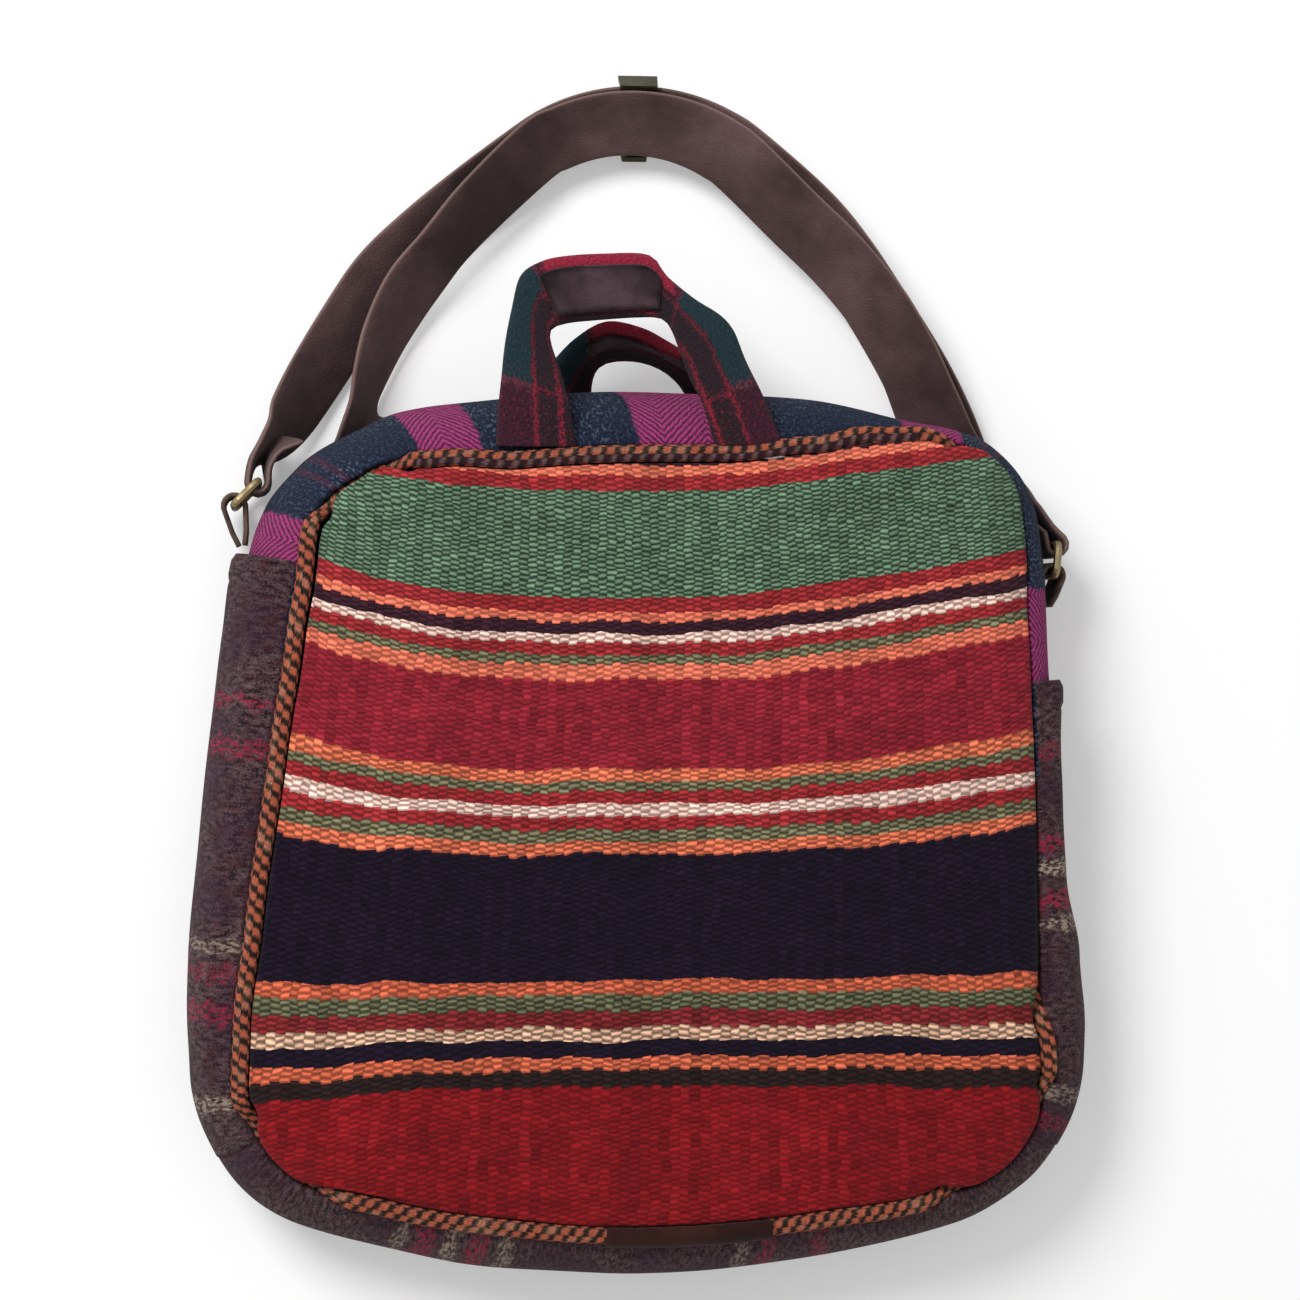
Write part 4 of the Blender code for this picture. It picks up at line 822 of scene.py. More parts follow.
def herringbone_wool():
    """Navy wool with pale flecks, and blocks where the weft turns magenta and its herringbone shows."""
    finish, line = wool_twill("herringbone_wool", 0.0023)
    soft = woolly(finish, line, 0.06)
    fleck = finish.spread(finish.grain(1000.0, 2.0, None, (1.0, 0.55, 1.0)), 0.52, 0.66)
    patches = finish.spread(finish.grain(30.0, 1.0), 0.45, 0.6)
    navy = finish.mix(soft, NAVY_DARK, NAVY)
    navy = finish.mix(fleck * finish.spread(patches, 0.0, 1.0, 0.25, 0.75), navy, NAVY_FLECK)
    bold = woolly(finish, finish.spread(line, 0.25, 0.65), 0.7)
    magenta = finish.mix(finish.spread(bold, 0.2, 0.8), MAGENTA_DARK, MAGENTA)
    colour = navy
    sway = (finish.grain(260.0, 2.0) - 0.5) * 0.004
    blur = 0.0012
    for start, width in MAGENTA_BLOCKS:
        place = finish.along - start + sway
        inside = finish.spread(place, 0.0, blur) * finish.spread(place, width, width - blur)
        colour = finish.mix(inside, colour, magenta)
    for line_place in CORNER_LINES:
        near = finish.calc("LESS_THAN", abs(finish.along - line_place), CORNER_LINE_HALF_WIDTH)
        colour = finish.mix(near * (soft * 0.4), colour, CORNER_RED)
    colour = finish.shade(colour, 0.68, 1.3, finish.grain(2600.0, 2.0))
    height = soft + finish.grain(1100.0, 3.0)
    return finish.done(colour, height, 0.0006)


def front_slot_edge(distance):
    return ZIP_ANGLE + slot_half_angle(distance)


def rear_slot_edge(distance):
    return ZIP_ANGLE - slot_half_angle(distance)


herringbone = herringbone_wool()
top_front = band_piece(
    "top_gusset_front_wool",
    gusset_left,
    gusset_right,
    *TOP_FRONT_GRID,
    front_slot_edge,
    gusset_edge,
    GUSSET_THICKNESS,
    gusset_out,
)
top_rear = band_piece(
    "top_gusset_rear_wool",
    gusset_left,
    gusset_right,
    *TOP_REAR_GRID,
    fixed_edge(GUSSET_BACK_EDGE),
    rear_slot_edge,
    GUSSET_THICKNESS,
    lambda distance, angle, point: 0.0,
)
dressed(top_front, herringbone, "top_gusset_front")
dressed(top_rear, herringbone, "top_gusset_rear")


# Zip
# Metal teeth clamped on woven navy tapes that are stitched under the top gusset's two edges. The slider and
# its pull tab are die-cast, and all of the metal has aged to a dull brass.

BRASS = tint(134, 120, 90)
BRASS_DARK = tint(62, 54, 42)
LACQUER = tint(34, 35, 30)
LACQUER_WORN = tint(74, 70, 56)
TAPE_BLUE = tint(32, 38, 56)
TAPE_PITCH = 0.0009
ZIP_SOFT_EDGE = 0.00025


def aged_metal(name, bright, dark, roughness):
    """Metal with dark tarnish in patches and rubbed, brighter edges."""
    finish = Finish(name, roughness)
    finish.shader.inputs["Metallic"].default_value = 1.0
    patches = finish.spread(finish.grain(260.0, 4.0, finish.solid()), 0.38, 0.62)
    rubbed = finish.spread(node(finish.tree, "NewGeometry").outputs["Pointiness"], 0.49, 0.56)
    share = finish.calc("MAXIMUM", patches * 0.8, rubbed)
    colour = finish.mix(share, dark, bright)
    rough = finish.spread(patches, 0.0, 1.0, roughness + 0.18, roughness - 0.06)
    feed(finish.tree, finish.shader.inputs["Roughness"], rough)
    return finish.done(colour, finish.grain(2200.0, 2.0, finish.solid()), 0.00006)


def woven_tape():
    finish = Finish("zip_tape_weave", 0.85)
    x, _, z = finish.parts(finish.solid())
    turns = (x + z) * (2.0 * math.pi / TAPE_PITCH)
    line = finish.spread(finish.calc("SINE", turns), -1.0, 1.0)
    colour = finish.mix(line, TAPE_BLUE, NAVY_DARK)
    return finish.done(colour, line, 0.00015)


def recoat(name, material, softened=0.0):
    """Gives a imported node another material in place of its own, and softened edges if it's cast metal."""
    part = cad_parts[name]
    part.data.materials.clear()
    part.data.materials.append(material)
    if softened:
        edges = part.modifiers.new("soft_edges", "BEVEL")
        edges.width = softened
        edges.segments = 2
        edges.limit_method = "ANGLE"


brass = aged_metal("aged_brass", BRASS, BRASS_DARK, 0.5)
tape = woven_tape()
for zip_node in ("zip_tape_front", "zip_tape_rear"):
    recoat(zip_node, tape)
for zip_node in ("zip_teeth_front", "zip_teeth_rear", "zip_stop_left", "zip_stop_right"):
    recoat(zip_node, brass)
for zip_node in ("zip_slider", "zip_slider_base", "zip_puller"):
    recoat(zip_node, brass, ZIP_SOFT_EDGE)


# Welt
# A cord covered with a strip of checkered kilim, sewn into the seam between the front panel and the gusset.
# Its two ends meet at the bottom under a small patch of brown suede.

PIPING_ANGLE = math.radians(67.0)
PIPING_RADIUS = 0.0029
WELT_GRID = (900, 12)
WELT_END_GAP = 0.0002
WELT_WANDER = 0.0003
WELT_WANDER_SIZE = 0.02
WELT_BEAD_SHARE = 0.03
# Steps outward and onward by which the welt's directions are found
OUTWARD_STEP = 0.002
ONWARD_STEP = 0.001
JOINED_WITHIN = 0.000001
PATCH_CENTRE = 0.014
PATCH_LENGTH = 0.058
PATCH_WIDTH = 0.009
PATCH_TURN = math.radians(76.0)
PATCH_RISE = 0.0011
PATCH_THICKNESS = 0.0009
PATCH_GRID = (60, 14)
PATCH_WRINKLE = 0.0003
PATCH_WRINKLE_SIZE = 0.02
PATCH_OUTWARD = Vector((0.0, -0.01, 0.02))
TUCK_DEPTH = 0.006
CHECK_LENGTH = 0.0049
WELT_COLUMNS = 6
WELT_COLUMN_TURN = 0.05
WELT_TOP_REACH = 0.088
CHECK_ORANGE = tint(238, 126, 90)
CHECK_PINK = tint(236, 146, 118)
CHECK_BLACK = tint(42, 26, 22)
CHECK_GREEN = tint(84, 74, 52)
CHECK_PLUM = tint(58, 24, 36)
CHECK_PALE = tint(206, 160, 158)
SUEDE = tint(55, 29, 25)
SUEDE_DARK = tint(34, 17, 15)
# Colour of the painted highlight along a strap's rims
SUEDE_RIM_HIGHLIGHT = tint(150, 124, 116)


patch_place = LENGTHS[1] - PATCH_CENTRE
welt_length = PERIMETER - 2.0 * WELT_END_GAP
welt_top = PERIMETER - patch_place


def checkered_kilim():
    """Columns of checks, half a check apart, in orange and near black; along the top one column is plum."""
    finish = Finish("checkered_welt", 0.95, 0.05)
    around = (finish.across - WELT_COLUMN_TURN) * WELT_COLUMNS
    column = finish.calc("FLOOR", around)
    odd = column % 2.0
    place = finish.along / CHECK_LENGTH + odd * 0.5
    place = place + finish.grain(150.0, 3.0) * 1.1 + finish.calc("FRACT", around) * 0.22
    share = finish.calc("FRACT", place)
    fuzz = finish.spread(finish.grain(900.0, 3.0), 0.3, 0.7, -0.07, 0.07)
    dark = finish.spread(finish.calc("PINGPONG", share, 0.5) + fuzz, 0.32, 0.24)
    number = finish.value("CombineXYZ", finish.calc("FLOOR", place), column)
    chance = finish.value("TexWhiteNoise", number, noise_dimensions="2D")
    light = finish.mix(finish.calc("GREATER_THAN", chance, 0.78), CHECK_ORANGE, CHECK_PINK)
    deep = finish.mix(finish.calc("GREATER_THAN", chance, 0.82), CHECK_BLACK, CHECK_GREEN)
    colour = finish.mix(dark, light, deep)
    top = abs(finish.along - welt_top)
    top = finish.calc("LESS_THAN", top, WELT_TOP_REACH) * finish.calc("COMPARE", column, 0.0, 0.1)
    pale = finish.calc("LESS_THAN", share, 0.42) * finish.spread(finish.grain(300.0, 1.0), 0.4, 0.6)
    colour = finish.mix(top, colour, finish.mix(pale * 0.6, CHECK_PLUM, CHECK_PALE))
    bead = abs(finish.calc("SINE", share * (2.0 * math.pi)))
    rows = finish.calc("SINE", finish.calc("FRACT", around) * math.pi)
    bead = (bead * rows) ** 0.4
    # Painted shade in the gaps between checks and along the columns' sides, and painted highlight on the
    # checks' tops
    colour = finish.shade(colour, 0.45, 1.5, bead)
    colour = finish.shade(colour, 0.6, 1.4, finish.grain(1500.0, 3.0))
    height = bead + finish.grain(1500.0, 3.0) * 0.6
    return finish.done(colour, height, 0.0008)


def brown_suede(name, light, dark, scale=26.0, highlight_rim_at=None, plate=None):
    """Napped hide in light and dark strokes; a strap's rims get a painted highlight, and a plate's border is
    darker.
    """
    finish = Finish(name, 0.92, 0.08)
    where = finish.solid()
    strokes = finish.grain(scale, 5.0, where)
    nap = finish.grain(1500.0, 3.0, where)
    colour = finish.mix(finish.spread(strokes, 0.38, 0.62), dark, light)
    colour = finish.shade(colour, 0.78, 1.22, finish.grain(scale * 9.0, 4.0, where))
    colour = finish.shade(colour, 0.8, 1.2, nap)
    if highlight_rim_at:
        # Painted highlight: a paler line along both rims of the strap
        rim_highlight = finish.spread(abs(finish.across), highlight_rim_at - 0.0007, highlight_rim_at, 0.0, 0.55)
        colour = finish.mix(rim_highlight, colour, SUEDE_RIM_HIGHLIGHT)
    if plate:
        ends = finish.calc("MINIMUM", finish.along, plate[0] - finish.along)
        sides = finish.calc("MINIMUM", finish.across, plate[1] - finish.across)
        border = finish.spread(finish.calc("MINIMUM", ends, sides), 0.0008, 0.0022)
        colour = finish.shade(colour, 0.55, 1.12, border)
    height = strokes * 2.0 + nap
    return finish.done(colour, height, 0.0005)


def welt_point(distance, out=0.0):
    return edge_point(distance, PIPING_ANGLE + seam_turn(distance), out - TUCK_DEPTH * tuck(distance, 0.0))


@functools.cache
def welt_frame(distance):
    """Middle of the welt, and its outward and sideways directions."""
    middle = welt_point(distance)
    outward = (welt_point(distance, OUTWARD_STEP) - middle).normalized()
    ahead = (welt_point(distance + ONWARD_STEP) - middle).normalized()
    return middle, outward, ahead.cross(outward)


def welt_place(along, around):
    distance = patch_place + WELT_END_GAP + welt_length * along
    middle, outward, aside = welt_frame(distance)
    centre = middle + outward * WELT_WANDER * ripple(middle, WELT_WANDER_SIZE, seed=9.0)
    turn = 2.0 * math.pi * around
    beads = WELT_BEAD_SHARE * math.sin(2.0 * math.pi * distance / (CHECK_LENGTH / 2))
    radius = PIPING_RADIUS * (1.0 + beads)
    return centre + (outward * math.cos(turn) + aside * math.sin(turn)) * radius


def tube_piece(name, columns, around, place, measure):
    """Closed tube from a grid whose long edges meet, with its ends filled."""
    bm = charted_grid(columns, around, place, measure, closed=True)
    bmesh.ops.remove_doubles(bm, verts=bm.verts[:], dist=JOINED_WITHIN)
    open_edges = [edge for edge in bm.edges if edge.is_boundary]
    bmesh.ops.holes_fill(bm, edges=open_edges, sides=0)
    bmesh.ops.recalc_face_normals(bm, faces=bm.faces[:])
    if bm.calc_volume(signed=True) < 0:
        bmesh.ops.reverse_faces(bm, faces=bm.faces[:])
    return finished(name, bm)


def welt_measure(along, around):
    return welt_length * along, around


welt = tube_piece("checkered_welt", *WELT_GRID, welt_place, welt_measure)
dressed(welt, checkered_kilim(), "front_piping")


def patch_surface(along, across):
    distance = patch_place + PATCH_LENGTH * (along - 0.5)
    centre, outward, aside = welt_frame(distance)
    turn = PATCH_TURN * (2.0 * across - 1.0)
    reach = PIPING_RADIUS + PATCH_RISE + PATCH_WRINKLE * ripple(centre * 3.0, PATCH_WRINKLE_SIZE)
    return centre + (outward * math.cos(turn) + aside * math.sin(turn)) * reach


patch = cloth_piece(
    "suede_join_patch",
    *PATCH_GRID,
    patch_surface,
    lambda along, across: (PATCH_LENGTH * along, PATCH_WIDTH * across),
    PATCH_THICKNESS,
    welt_point(patch_place) - PATCH_OUTWARD,
)
dressed(patch, brown_suede("patch_suede", SUEDE, SUEDE_DARK), "piping_join_patch")


# Front panel
# One piece of weft-faced kilim. Hard-spun warps stand as fine ribs, and the dyed wefts cover them in short
# beads that lie half a bead apart, so every stripe has a toothed edge.

PANEL_EDGE = math.radians(74.0)
TUCK_PANEL_TURN = math.radians(4.5)
TUCK_CLEARANCE_TURN = math.radians(3.0)
CROWN = 0.006
PANEL_GRID = (150, 210)
BROAD_SAG = 0.0011
BROAD_SAG_SIZE = 0.05
SMALL_SAG = 0.0004
SMALL_SAG_SIZE = 0.018
SMALL_SAG_SQUEEZE = 2.5
ROW_WOBBLE = 0.0012
ROW_WOBBLE_SIZE = 0.03
ROW_WOBBLE_SQUEEZE = 0.4
SAG_FADE = 1.0 / 12.0
# The seam along top and bottom is followed in steps, and draws this share of the panel's rows with it
SEAM_STEP = 0.002
SEAM_STEPS = 85
SEAM_PULL = 0.3
PANEL_THICKNESS = 0.0022
# The warps fan out and the beads grow longer towards the bottom
TOP_WARP_PITCH = 0.00285
BOTTOM_WARP_PITCH = 0.00335
WARP_FAN_TOP_Y = 0.105
WARP_FAN_BOTTOM_Y = -0.110
TOP_BEAD_PITCH = 0.00165
BOTTOM_BEAD_PITCH = 0.00195
BEADS_GROW_OVER = 0.25
BEAD_SLANT = 0.13


def dyed(red, green, blue, painted_gap_shade):
    """A dye with, in place of its alpha, how strongly painted shade darkens the gaps between its beads and
    painted light brightens their tops.
    """
    return (*tint(red, green, blue)[:3], painted_gap_shade)


# The fourth number of each dye sets the strength of the painted shade in its bead gaps and the painted light
# on its bead tops
CORAL = dyed(222, 113, 88, 0.48)
RUST = dyed(210, 106, 76, 0.62)
BRICK = dyed(152, 43, 47, 0.50)
OXBLOOD = dyed(124, 38, 40, 0.50)
GREEN = dyed(87, 112, 89, 0.95)
MOSS = dyed(108, 104, 78, 0.80)
FERN = dyed(92, 92, 68, 0.80)
PLUM = dyed(54, 26, 38, 0.50)
CREAM = dyed(228, 190, 176, 0.65)
IVORY = dyed(196, 156, 130, 0.80)
MADDER = dyed(144, 35, 48, 0.32)
GARNET = dyed(133, 22, 28, 0.28)
INDIGO = dyed(25, 15, 32, 0.50)
SOOT = dyed(40, 26, 26, 0.50)
EMBER = dyed(196, 94, 66, 0.55)
# From the top: dye and height
STRIPES = (
    (PLUM, 0.0030),
    (CORAL, 0.0042),
    (BRICK, 0.0052),
    (GREEN, 0.0348),
    (BRICK, 0.0053),
    (CORAL, 0.0030),
    (PLUM, 0.0040),
    (CREAM, 0.0032),
    (BRICK, 0.0035),
    (MOSS, 0.0036),
    (CORAL, 0.0043),
    (MADDER, 0.0301),
    (RUST, 0.0036),
    (MOSS, 0.0040),
    (BRICK, 0.0039),
    (CREAM, 0.0040),
    (BRICK, 0.0046),
    (MOSS, 0.0036),
    (RUST, 0.0043),
    (INDIGO, 0.0420),
    (EMBER, 0.0039),
    (FERN, 0.0056),
    (OXBLOOD, 0.0053),
    (IVORY, 0.0050),
    (INDIGO, 0.0049),
    (EMBER, 0.0047),
    (SOOT, 0.0056),
    (GARNET, 0.0600),
)
STRIPES_TOP_Y = 0.1271
# How far the stripes bend up towards their ends: height at the panel's middle, left rise and right rise
STRIPE_BENDS = (
    (-0.0821, -0.0028, -0.0028),
    (-0.0471, 0.0002, 0.0010),
    (-0.0051, 0.0046, 0.0080),
    (0.0229, 0.0090, 0.0112),
    (0.0530, 0.0098, 0.0122),
    (0.0797, 0.0120, 0.0122),
    (0.1147, 0.0105, 0.0086),
    (0.127, 0.0105, 0.0080),
)
BEND_HALF_WIDTH = {-1: 0.112, 1: 0.124}
BEND_POWER = {-1: 3.6, 1: 2.1}
BEND_LIMIT = 1.3
BEND_ROUNDS = 6
# How far the cloth's own rows dip at their ends, so that they follow the panel's top and bottom
ROW_DIPS = ((-0.128, 0.0130), (-0.060, 0.0030), (0.000, 0.0055), (0.084, 0.0085), (0.132, -0.0085))


def beads_down(deep):
    """Beads from the panel's top to a depth; their length grows evenly."""
    growth = (BOTTOM_BEAD_PITCH - TOP_BEAD_PITCH) / BEADS_GROW_OVER
    return math.log(max(0.001, 1.0 + growth * deep / TOP_BEAD_PITCH)) / growth


def panel_edge(distance):
    """The panel's edge follows the seam, and lies over the welt where that is rolled under."""
    sinking = tuck(distance, 0.0)
    drawn_back = TUCK_CLEARANCE_TURN * 4.0 * sinking * (1.0 - sinking)
    return PANEL_EDGE + seam_turn(distance) + drawn_back - TUCK_PANEL_TURN * tuck(distance, 0.6)


panel_top = rim(0.0, panel_edge(0.0)).y
panel_bottom = rim(LENGTHS[1], panel_edge(LENGTHS[1])).y


@functools.cache
def seam_line(middle):
    """Places on the panel's edge along the top or the bottom, from left to right."""
    places = [middle + SEAM_STEP * step for step in range(-SEAM_STEPS, SEAM_STEPS + 1)]
    return sorted(rim(place, panel_edge(place)).xy[:] for place in places)


def row_spot(y, across):
    """Place on the plan of one point of a row of the cloth, which bends towards its ends."""
    left, right = row_ends(y + between(ROW_DIPS, y), panel_edge)
    x = left.x + (right.x - left.x) * across
    end = right if x > 0 else left
    share = x / end.x
    return x, y + (end.y - y) * share * share


@functools.cache
def panel_spot(across, down):
    """Place on the plan of one point of the panel; its first and last rows follow the seams."""
    x, y = row_spot(panel_top + (panel_bottom - panel_top) * down, across)
    end = 0.0 if down < 0.5 else 1.0
    reach = 1.0 - abs(down - end) / SEAM_PULL
    if reach > 0.0:
        end_x, end_y = row_spot(panel_bottom if end else panel_top, across)
        y += (between(seam_line(LENGTHS[1] * end), end_x) - end_y) * smooth(reach)
    return x, y


def panel_place(across, down):
    x, y = panel_spot(across, down)
    dome = CROWN * (1.0 - abs(2.0 * across - 1.0) ** 3) * (1.0 - abs(2.0 * down - 1.0) ** 3)
    point = Vector((x, y, face_height(x, y, True) + dome))
    inner = min(1.0, min(across, 1.0 - across, down, 1.0 - down) / SAG_FADE)
    small = ripple(Vector((x, y * SMALL_SAG_SQUEEZE, 0.0)), SMALL_SAG_SIZE, seed=7.0)
    wobble = ripple(Vector((x, y * ROW_WOBBLE_SQUEEZE, 0.0)), ROW_WOBBLE_SIZE, seed=5.0)
    point.z += inner * (BROAD_SAG * ripple(point, BROAD_SAG_SIZE, seed=2.0) + SMALL_SAG * small)
    point.y += inner * ROW_WOBBLE * wobble
    return lean(point, math.sin(PANEL_EDGE))


def panel_measure(across, down):
    """Warps from the panel's middle, and beads from its top."""
    x, y = panel_spot(across, down)
    side = 1 if x > 0 else -1
    bent = min(BEND_LIMIT, abs(x) / BEND_HALF_WIDTH[side]) ** BEND_POWER[side]
    stripe_y = y
    for _ in range(BEND_ROUNDS):
        stripe_y = y - between(STRIPE_BENDS, stripe_y, column=2 if side > 0 else 1) * bent
    fan = min(max((WARP_FAN_TOP_Y - y) / (WARP_FAN_TOP_Y - WARP_FAN_BOTTOM_Y), 0.0), 1.0)
    pitch = TOP_WARP_PITCH + (BOTTOM_WARP_PITCH - TOP_WARP_PITCH) * fan
    return x / pitch, beads_down(STRIPES_TOP_Y - stripe_y)


def kilim_weave():
    """Counts warps and beads, dyes each bead by the stripe at its middle, raises it, and paints shade into
    its gaps and light onto its top.
    """
    finish = Finish("kilim_weave", 0.95, 0.05)
    wander = finish.spread(finish.grain(0.30, 2.0), 0.0, 1.0, -0.7, 0.7)
    fray = finish.spread(finish.grain(2.3, 2.0), 0.0, 1.0, -0.12, 0.12)
    warps = finish.along + wander + fray
    drift = finish.spread(finish.grain(0.16, 2.0), 0.0, 1.0, -1.0, 1.0)
    uneven = finish.spread(finish.grain(0.9, 2.0), 0.0, 1.0, -0.3, 0.3)
    beads = finish.across + drift + uneven
    warp = finish.calc("FLOOR", warps)
    odd = warp % 2.0
    inner = warps - warp
    turned = finish.spread(odd, 0.0, 1.0, BEAD_SLANT, -BEAD_SLANT)
    slant = (inner - 0.5) * turned
    shift = odd * 0.5 + slant
    shifted = beads + shift
    bead = finish.calc("FLOOR", shifted)
    rib = finish.calc("SINE", inner * math.pi)
    plump = finish.calc("SINE", (shifted - bead) * math.pi)
    relief = rib**0.25 * plump**2.2
    centre = (bead + 0.5 - shift) * 0.45 + beads * 0.55
    total = beads_down(sum(height for _, height in STRIPES))
    ramp = node(finish.tree, "ValToRGB", centre / total)
    ramp.color_ramp.interpolation = "CONSTANT"
    stops = ramp.color_ramp.elements
    walked = 0.0
    for index, (dye, height) in enumerate(STRIPES):
        place = beads_down(walked) / total
        stop = stops[index] if index < 2 else stops.new(place)
        stop.position = place
        stop.color = dye
        walked += height
    number = finish.value("CombineXYZ", warp, bead)
    chance = finish.value("TexWhiteNoise", number, noise_dimensions="2D")
    colour = finish.shade(ramp.outputs[0], 0.76, 1.24, chance)
    lone = finish.value("TexWhiteNoise", None, warp, noise_dimensions="1D")
    colour = finish.shade(colour, 0.86, 1.14, lone)
    colour = finish.shade(colour, 0.70, 1.30, finish.grain(0.05, 3.0, None, (1.0, 2.2, 1.0)))
    fibres = finish.grain(3.4, 4.0, None, (1.0, 4.5, 1.0))
    colour = finish.shade(colour, 0.58, 1.42, fibres)
    # Painted shade and light: the colour is darkened in the gaps between beads and warps and brightened on
    # the bead tops, by each stripe's strength
    painted_relief_light = finish.spread(relief, 0.0, 1.0, -0.80, 1.30) * ramp.outputs[1]
    colour = finish.multiplied(colour, painted_relief_light + 1.0)
    height = relief + fibres * 0.5
    return finish.done(colour, height, 0.0005)


panel = cloth_piece("kilim_panel", *PANEL_GRID, panel_place, panel_measure, PANEL_THICKNESS)
dressed(panel, kilim_weave(), "front_panel")


# Handles
# Padded bands of plaid wool, sewn into the front and back seams, each with a suede grip stitched on.
# The front one lies out flat, and the rear one stands on its edge.

HANDLE_THICKNESS = 0.0047
HANDLE_STEP = 0.003
HANDLE_STATIONS = 120
EDGE_ROUNDING = 0.8
HANDLE_AROUND = 20
FRONT_HANDLE_OUTER = (
    (-0.0497, 0.1295, 0.0560),
    (-0.0490, 0.1430, 0.0574),
    (-0.0481, 0.1510, 0.0568),
    (-0.0468, 0.1630, 0.0556),
    (-0.0444, 0.1751, 0.0540),
    (-0.0414, 0.1862, 0.0525),
    (-0.0347, 0.1910, 0.0513),
    (-0.0270, 0.1930, 0.0506),
    (-0.0145, 0.1940, 0.0505),
    (0.0016, 0.1938, 0.0505),
    (0.0076, 0.1867, 0.0510),
    (0.0170, 0.1788, 0.0523),
    (0.0250, 0.1738, 0.0535),
    (0.0297, 0.1685, 0.0545),
    (0.0336, 0.1583, 0.0560),
    (0.0398, 0.1455, 0.0568),
    (0.0460, 0.1305, 0.0562),
)
FRONT_HANDLE_INNER = (
    (-0.0230, 0.1295, 0.0560),
    (-0.0256, 0.1430, 0.0582),
    (-0.0283, 0.1540, 0.0578),
    (-0.0312, 0.1625, 0.0568),
    (-0.0314, 0.1678, 0.0556),
    (-0.0262, 0.1702, 0.0544),
    (-0.0148, 0.1716, 0.0532),
    (-0.0015, 0.1726, 0.0530),
    (0.0058, 0.1722, 0.0536),
    (0.0090, 0.1680, 0.0552),
    (0.0115, 0.1605, 0.0570),
    (0.0150, 0.1510, 0.0580),
    (0.0190, 0.1430, 0.0584),
    (0.0230, 0.1298, 0.0562),
)
REAR_HANDLE_OUTER = (
    (-0.0365, 0.1358, 0.0098),
    (-0.0358, 0.1450, 0.0062),
    (-0.0325, 0.1535, 0.0110),
    (-0.0275, 0.1605, 0.0210),
    (-0.0210, 0.1668, 0.0310),
    (-0.0114, 0.1718, 0.0385),
    (0.0003, 0.1698, 0.0380),
    (0.0090, 0.1660, 0.0335),
    (0.0190, 0.1610, 0.0260),
    (0.0310, 0.1535, 0.0140),
    (0.0420, 0.1450, 0.0064),
    (0.0460, 0.1358, 0.0098),
)
REAR_HANDLE_INNER = (
    (-0.0125, 0.1373, 0.0098),
    (-0.0130, 0.1450, 0.0055),
    (-0.0138, 0.1530, 0.0075),
    (-0.0120, 0.1595, 0.0130),
    (-0.0060, 0.1616, 0.0165),
    (0.0023, 0.1614, 0.0175),
    (0.0091, 0.1592, 0.0165),
    (0.0145, 0.1556, 0.0130),
    (0.0185, 0.1508, 0.0085),
    (0.0210, 0.1450, 0.0058),
    (0.0225, 0.1373, 0.0098),
)
# Name, two edges, first and last station of the grip, its two margins, its flat size and its area
HANDLES = (
    ("front_handle", FRONT_HANDLE_OUTER, FRONT_HANDLE_INNER, 43, 73, 0.002, 0.0046, (0.015, 0.043), 0.00062),
    ("rear_handle", REAR_HANDLE_OUTER, REAR_HANDLE_INNER, 39, 81, 0.015, 0.002, (0.010, 0.040), 0.00025),
)
PLAID_TEAL = tint(32, 52, 58)
PLAID_DARK = tint(44, 32, 38)
PLAID_WINE = tint(60, 29, 42)
PLAID_RED = tint(146, 38, 58)
HANDLE_HALF_LENGTH = 0.071
GRIP_PLATE = (0.042, 0.015)
GRIP_ROWS = 22
GRIP_THICKNESS = 0.0012
GRIP_HIDE_THICKNESS = 0.6 * GRIP_THICKNESS
GRIP_GAP = 0.0004
# Shares of the thickness at the pressed-down border, and added inside of it
GRIP_BORDER_SHARE = 0.55
GRIP_INNER_SHARE = 0.45
GRIP_CREASE = 0.0009
GRIP_CREASE_SIZE = 0.006
GRIP_CREASE_SQUEEZE = 0.35
GRIP_BELOW = 0.1
GRIP_SIDE_BORDER = 1.0 / 18.0
GRIP_END_BORDER = 1.0 / 34.0
GRIP = tint(72, 55, 60)
GRIP_DARK = tint(36, 26, 30)


def curve_point(before, start, end, after, share):
    """Point of a smooth curve, at a share of the way between the two middle points."""
    spot = []
    for a, b, c, d in zip(before, start, end, after):
        bent = (2 * a - 5 * b + 4 * c - d) * share**2
        turned = (3 * b - a - 3 * c + d) * share**3
        spot.append(0.5 * (2 * b + (c - a) * share + bent + turned))
    return tuple(spot)


def through(points, step):
    """Points about one step apart on a smooth curve through tuples of any length."""
    made = []
    for index in range(len(points) - 1):
        before = points[max(index - 1, 0)]
        start, end = points[index], points[index + 1]
        after = points[min(index + 2, len(points) - 1)]
        pieces = max(1, round(math.dist(start[:3], end[:3]) / step))
        made += [curve_point(before, start, end, after, piece / pieces) for piece in range(pieces)]
    made.append(tuple(points[-1]))
    return made


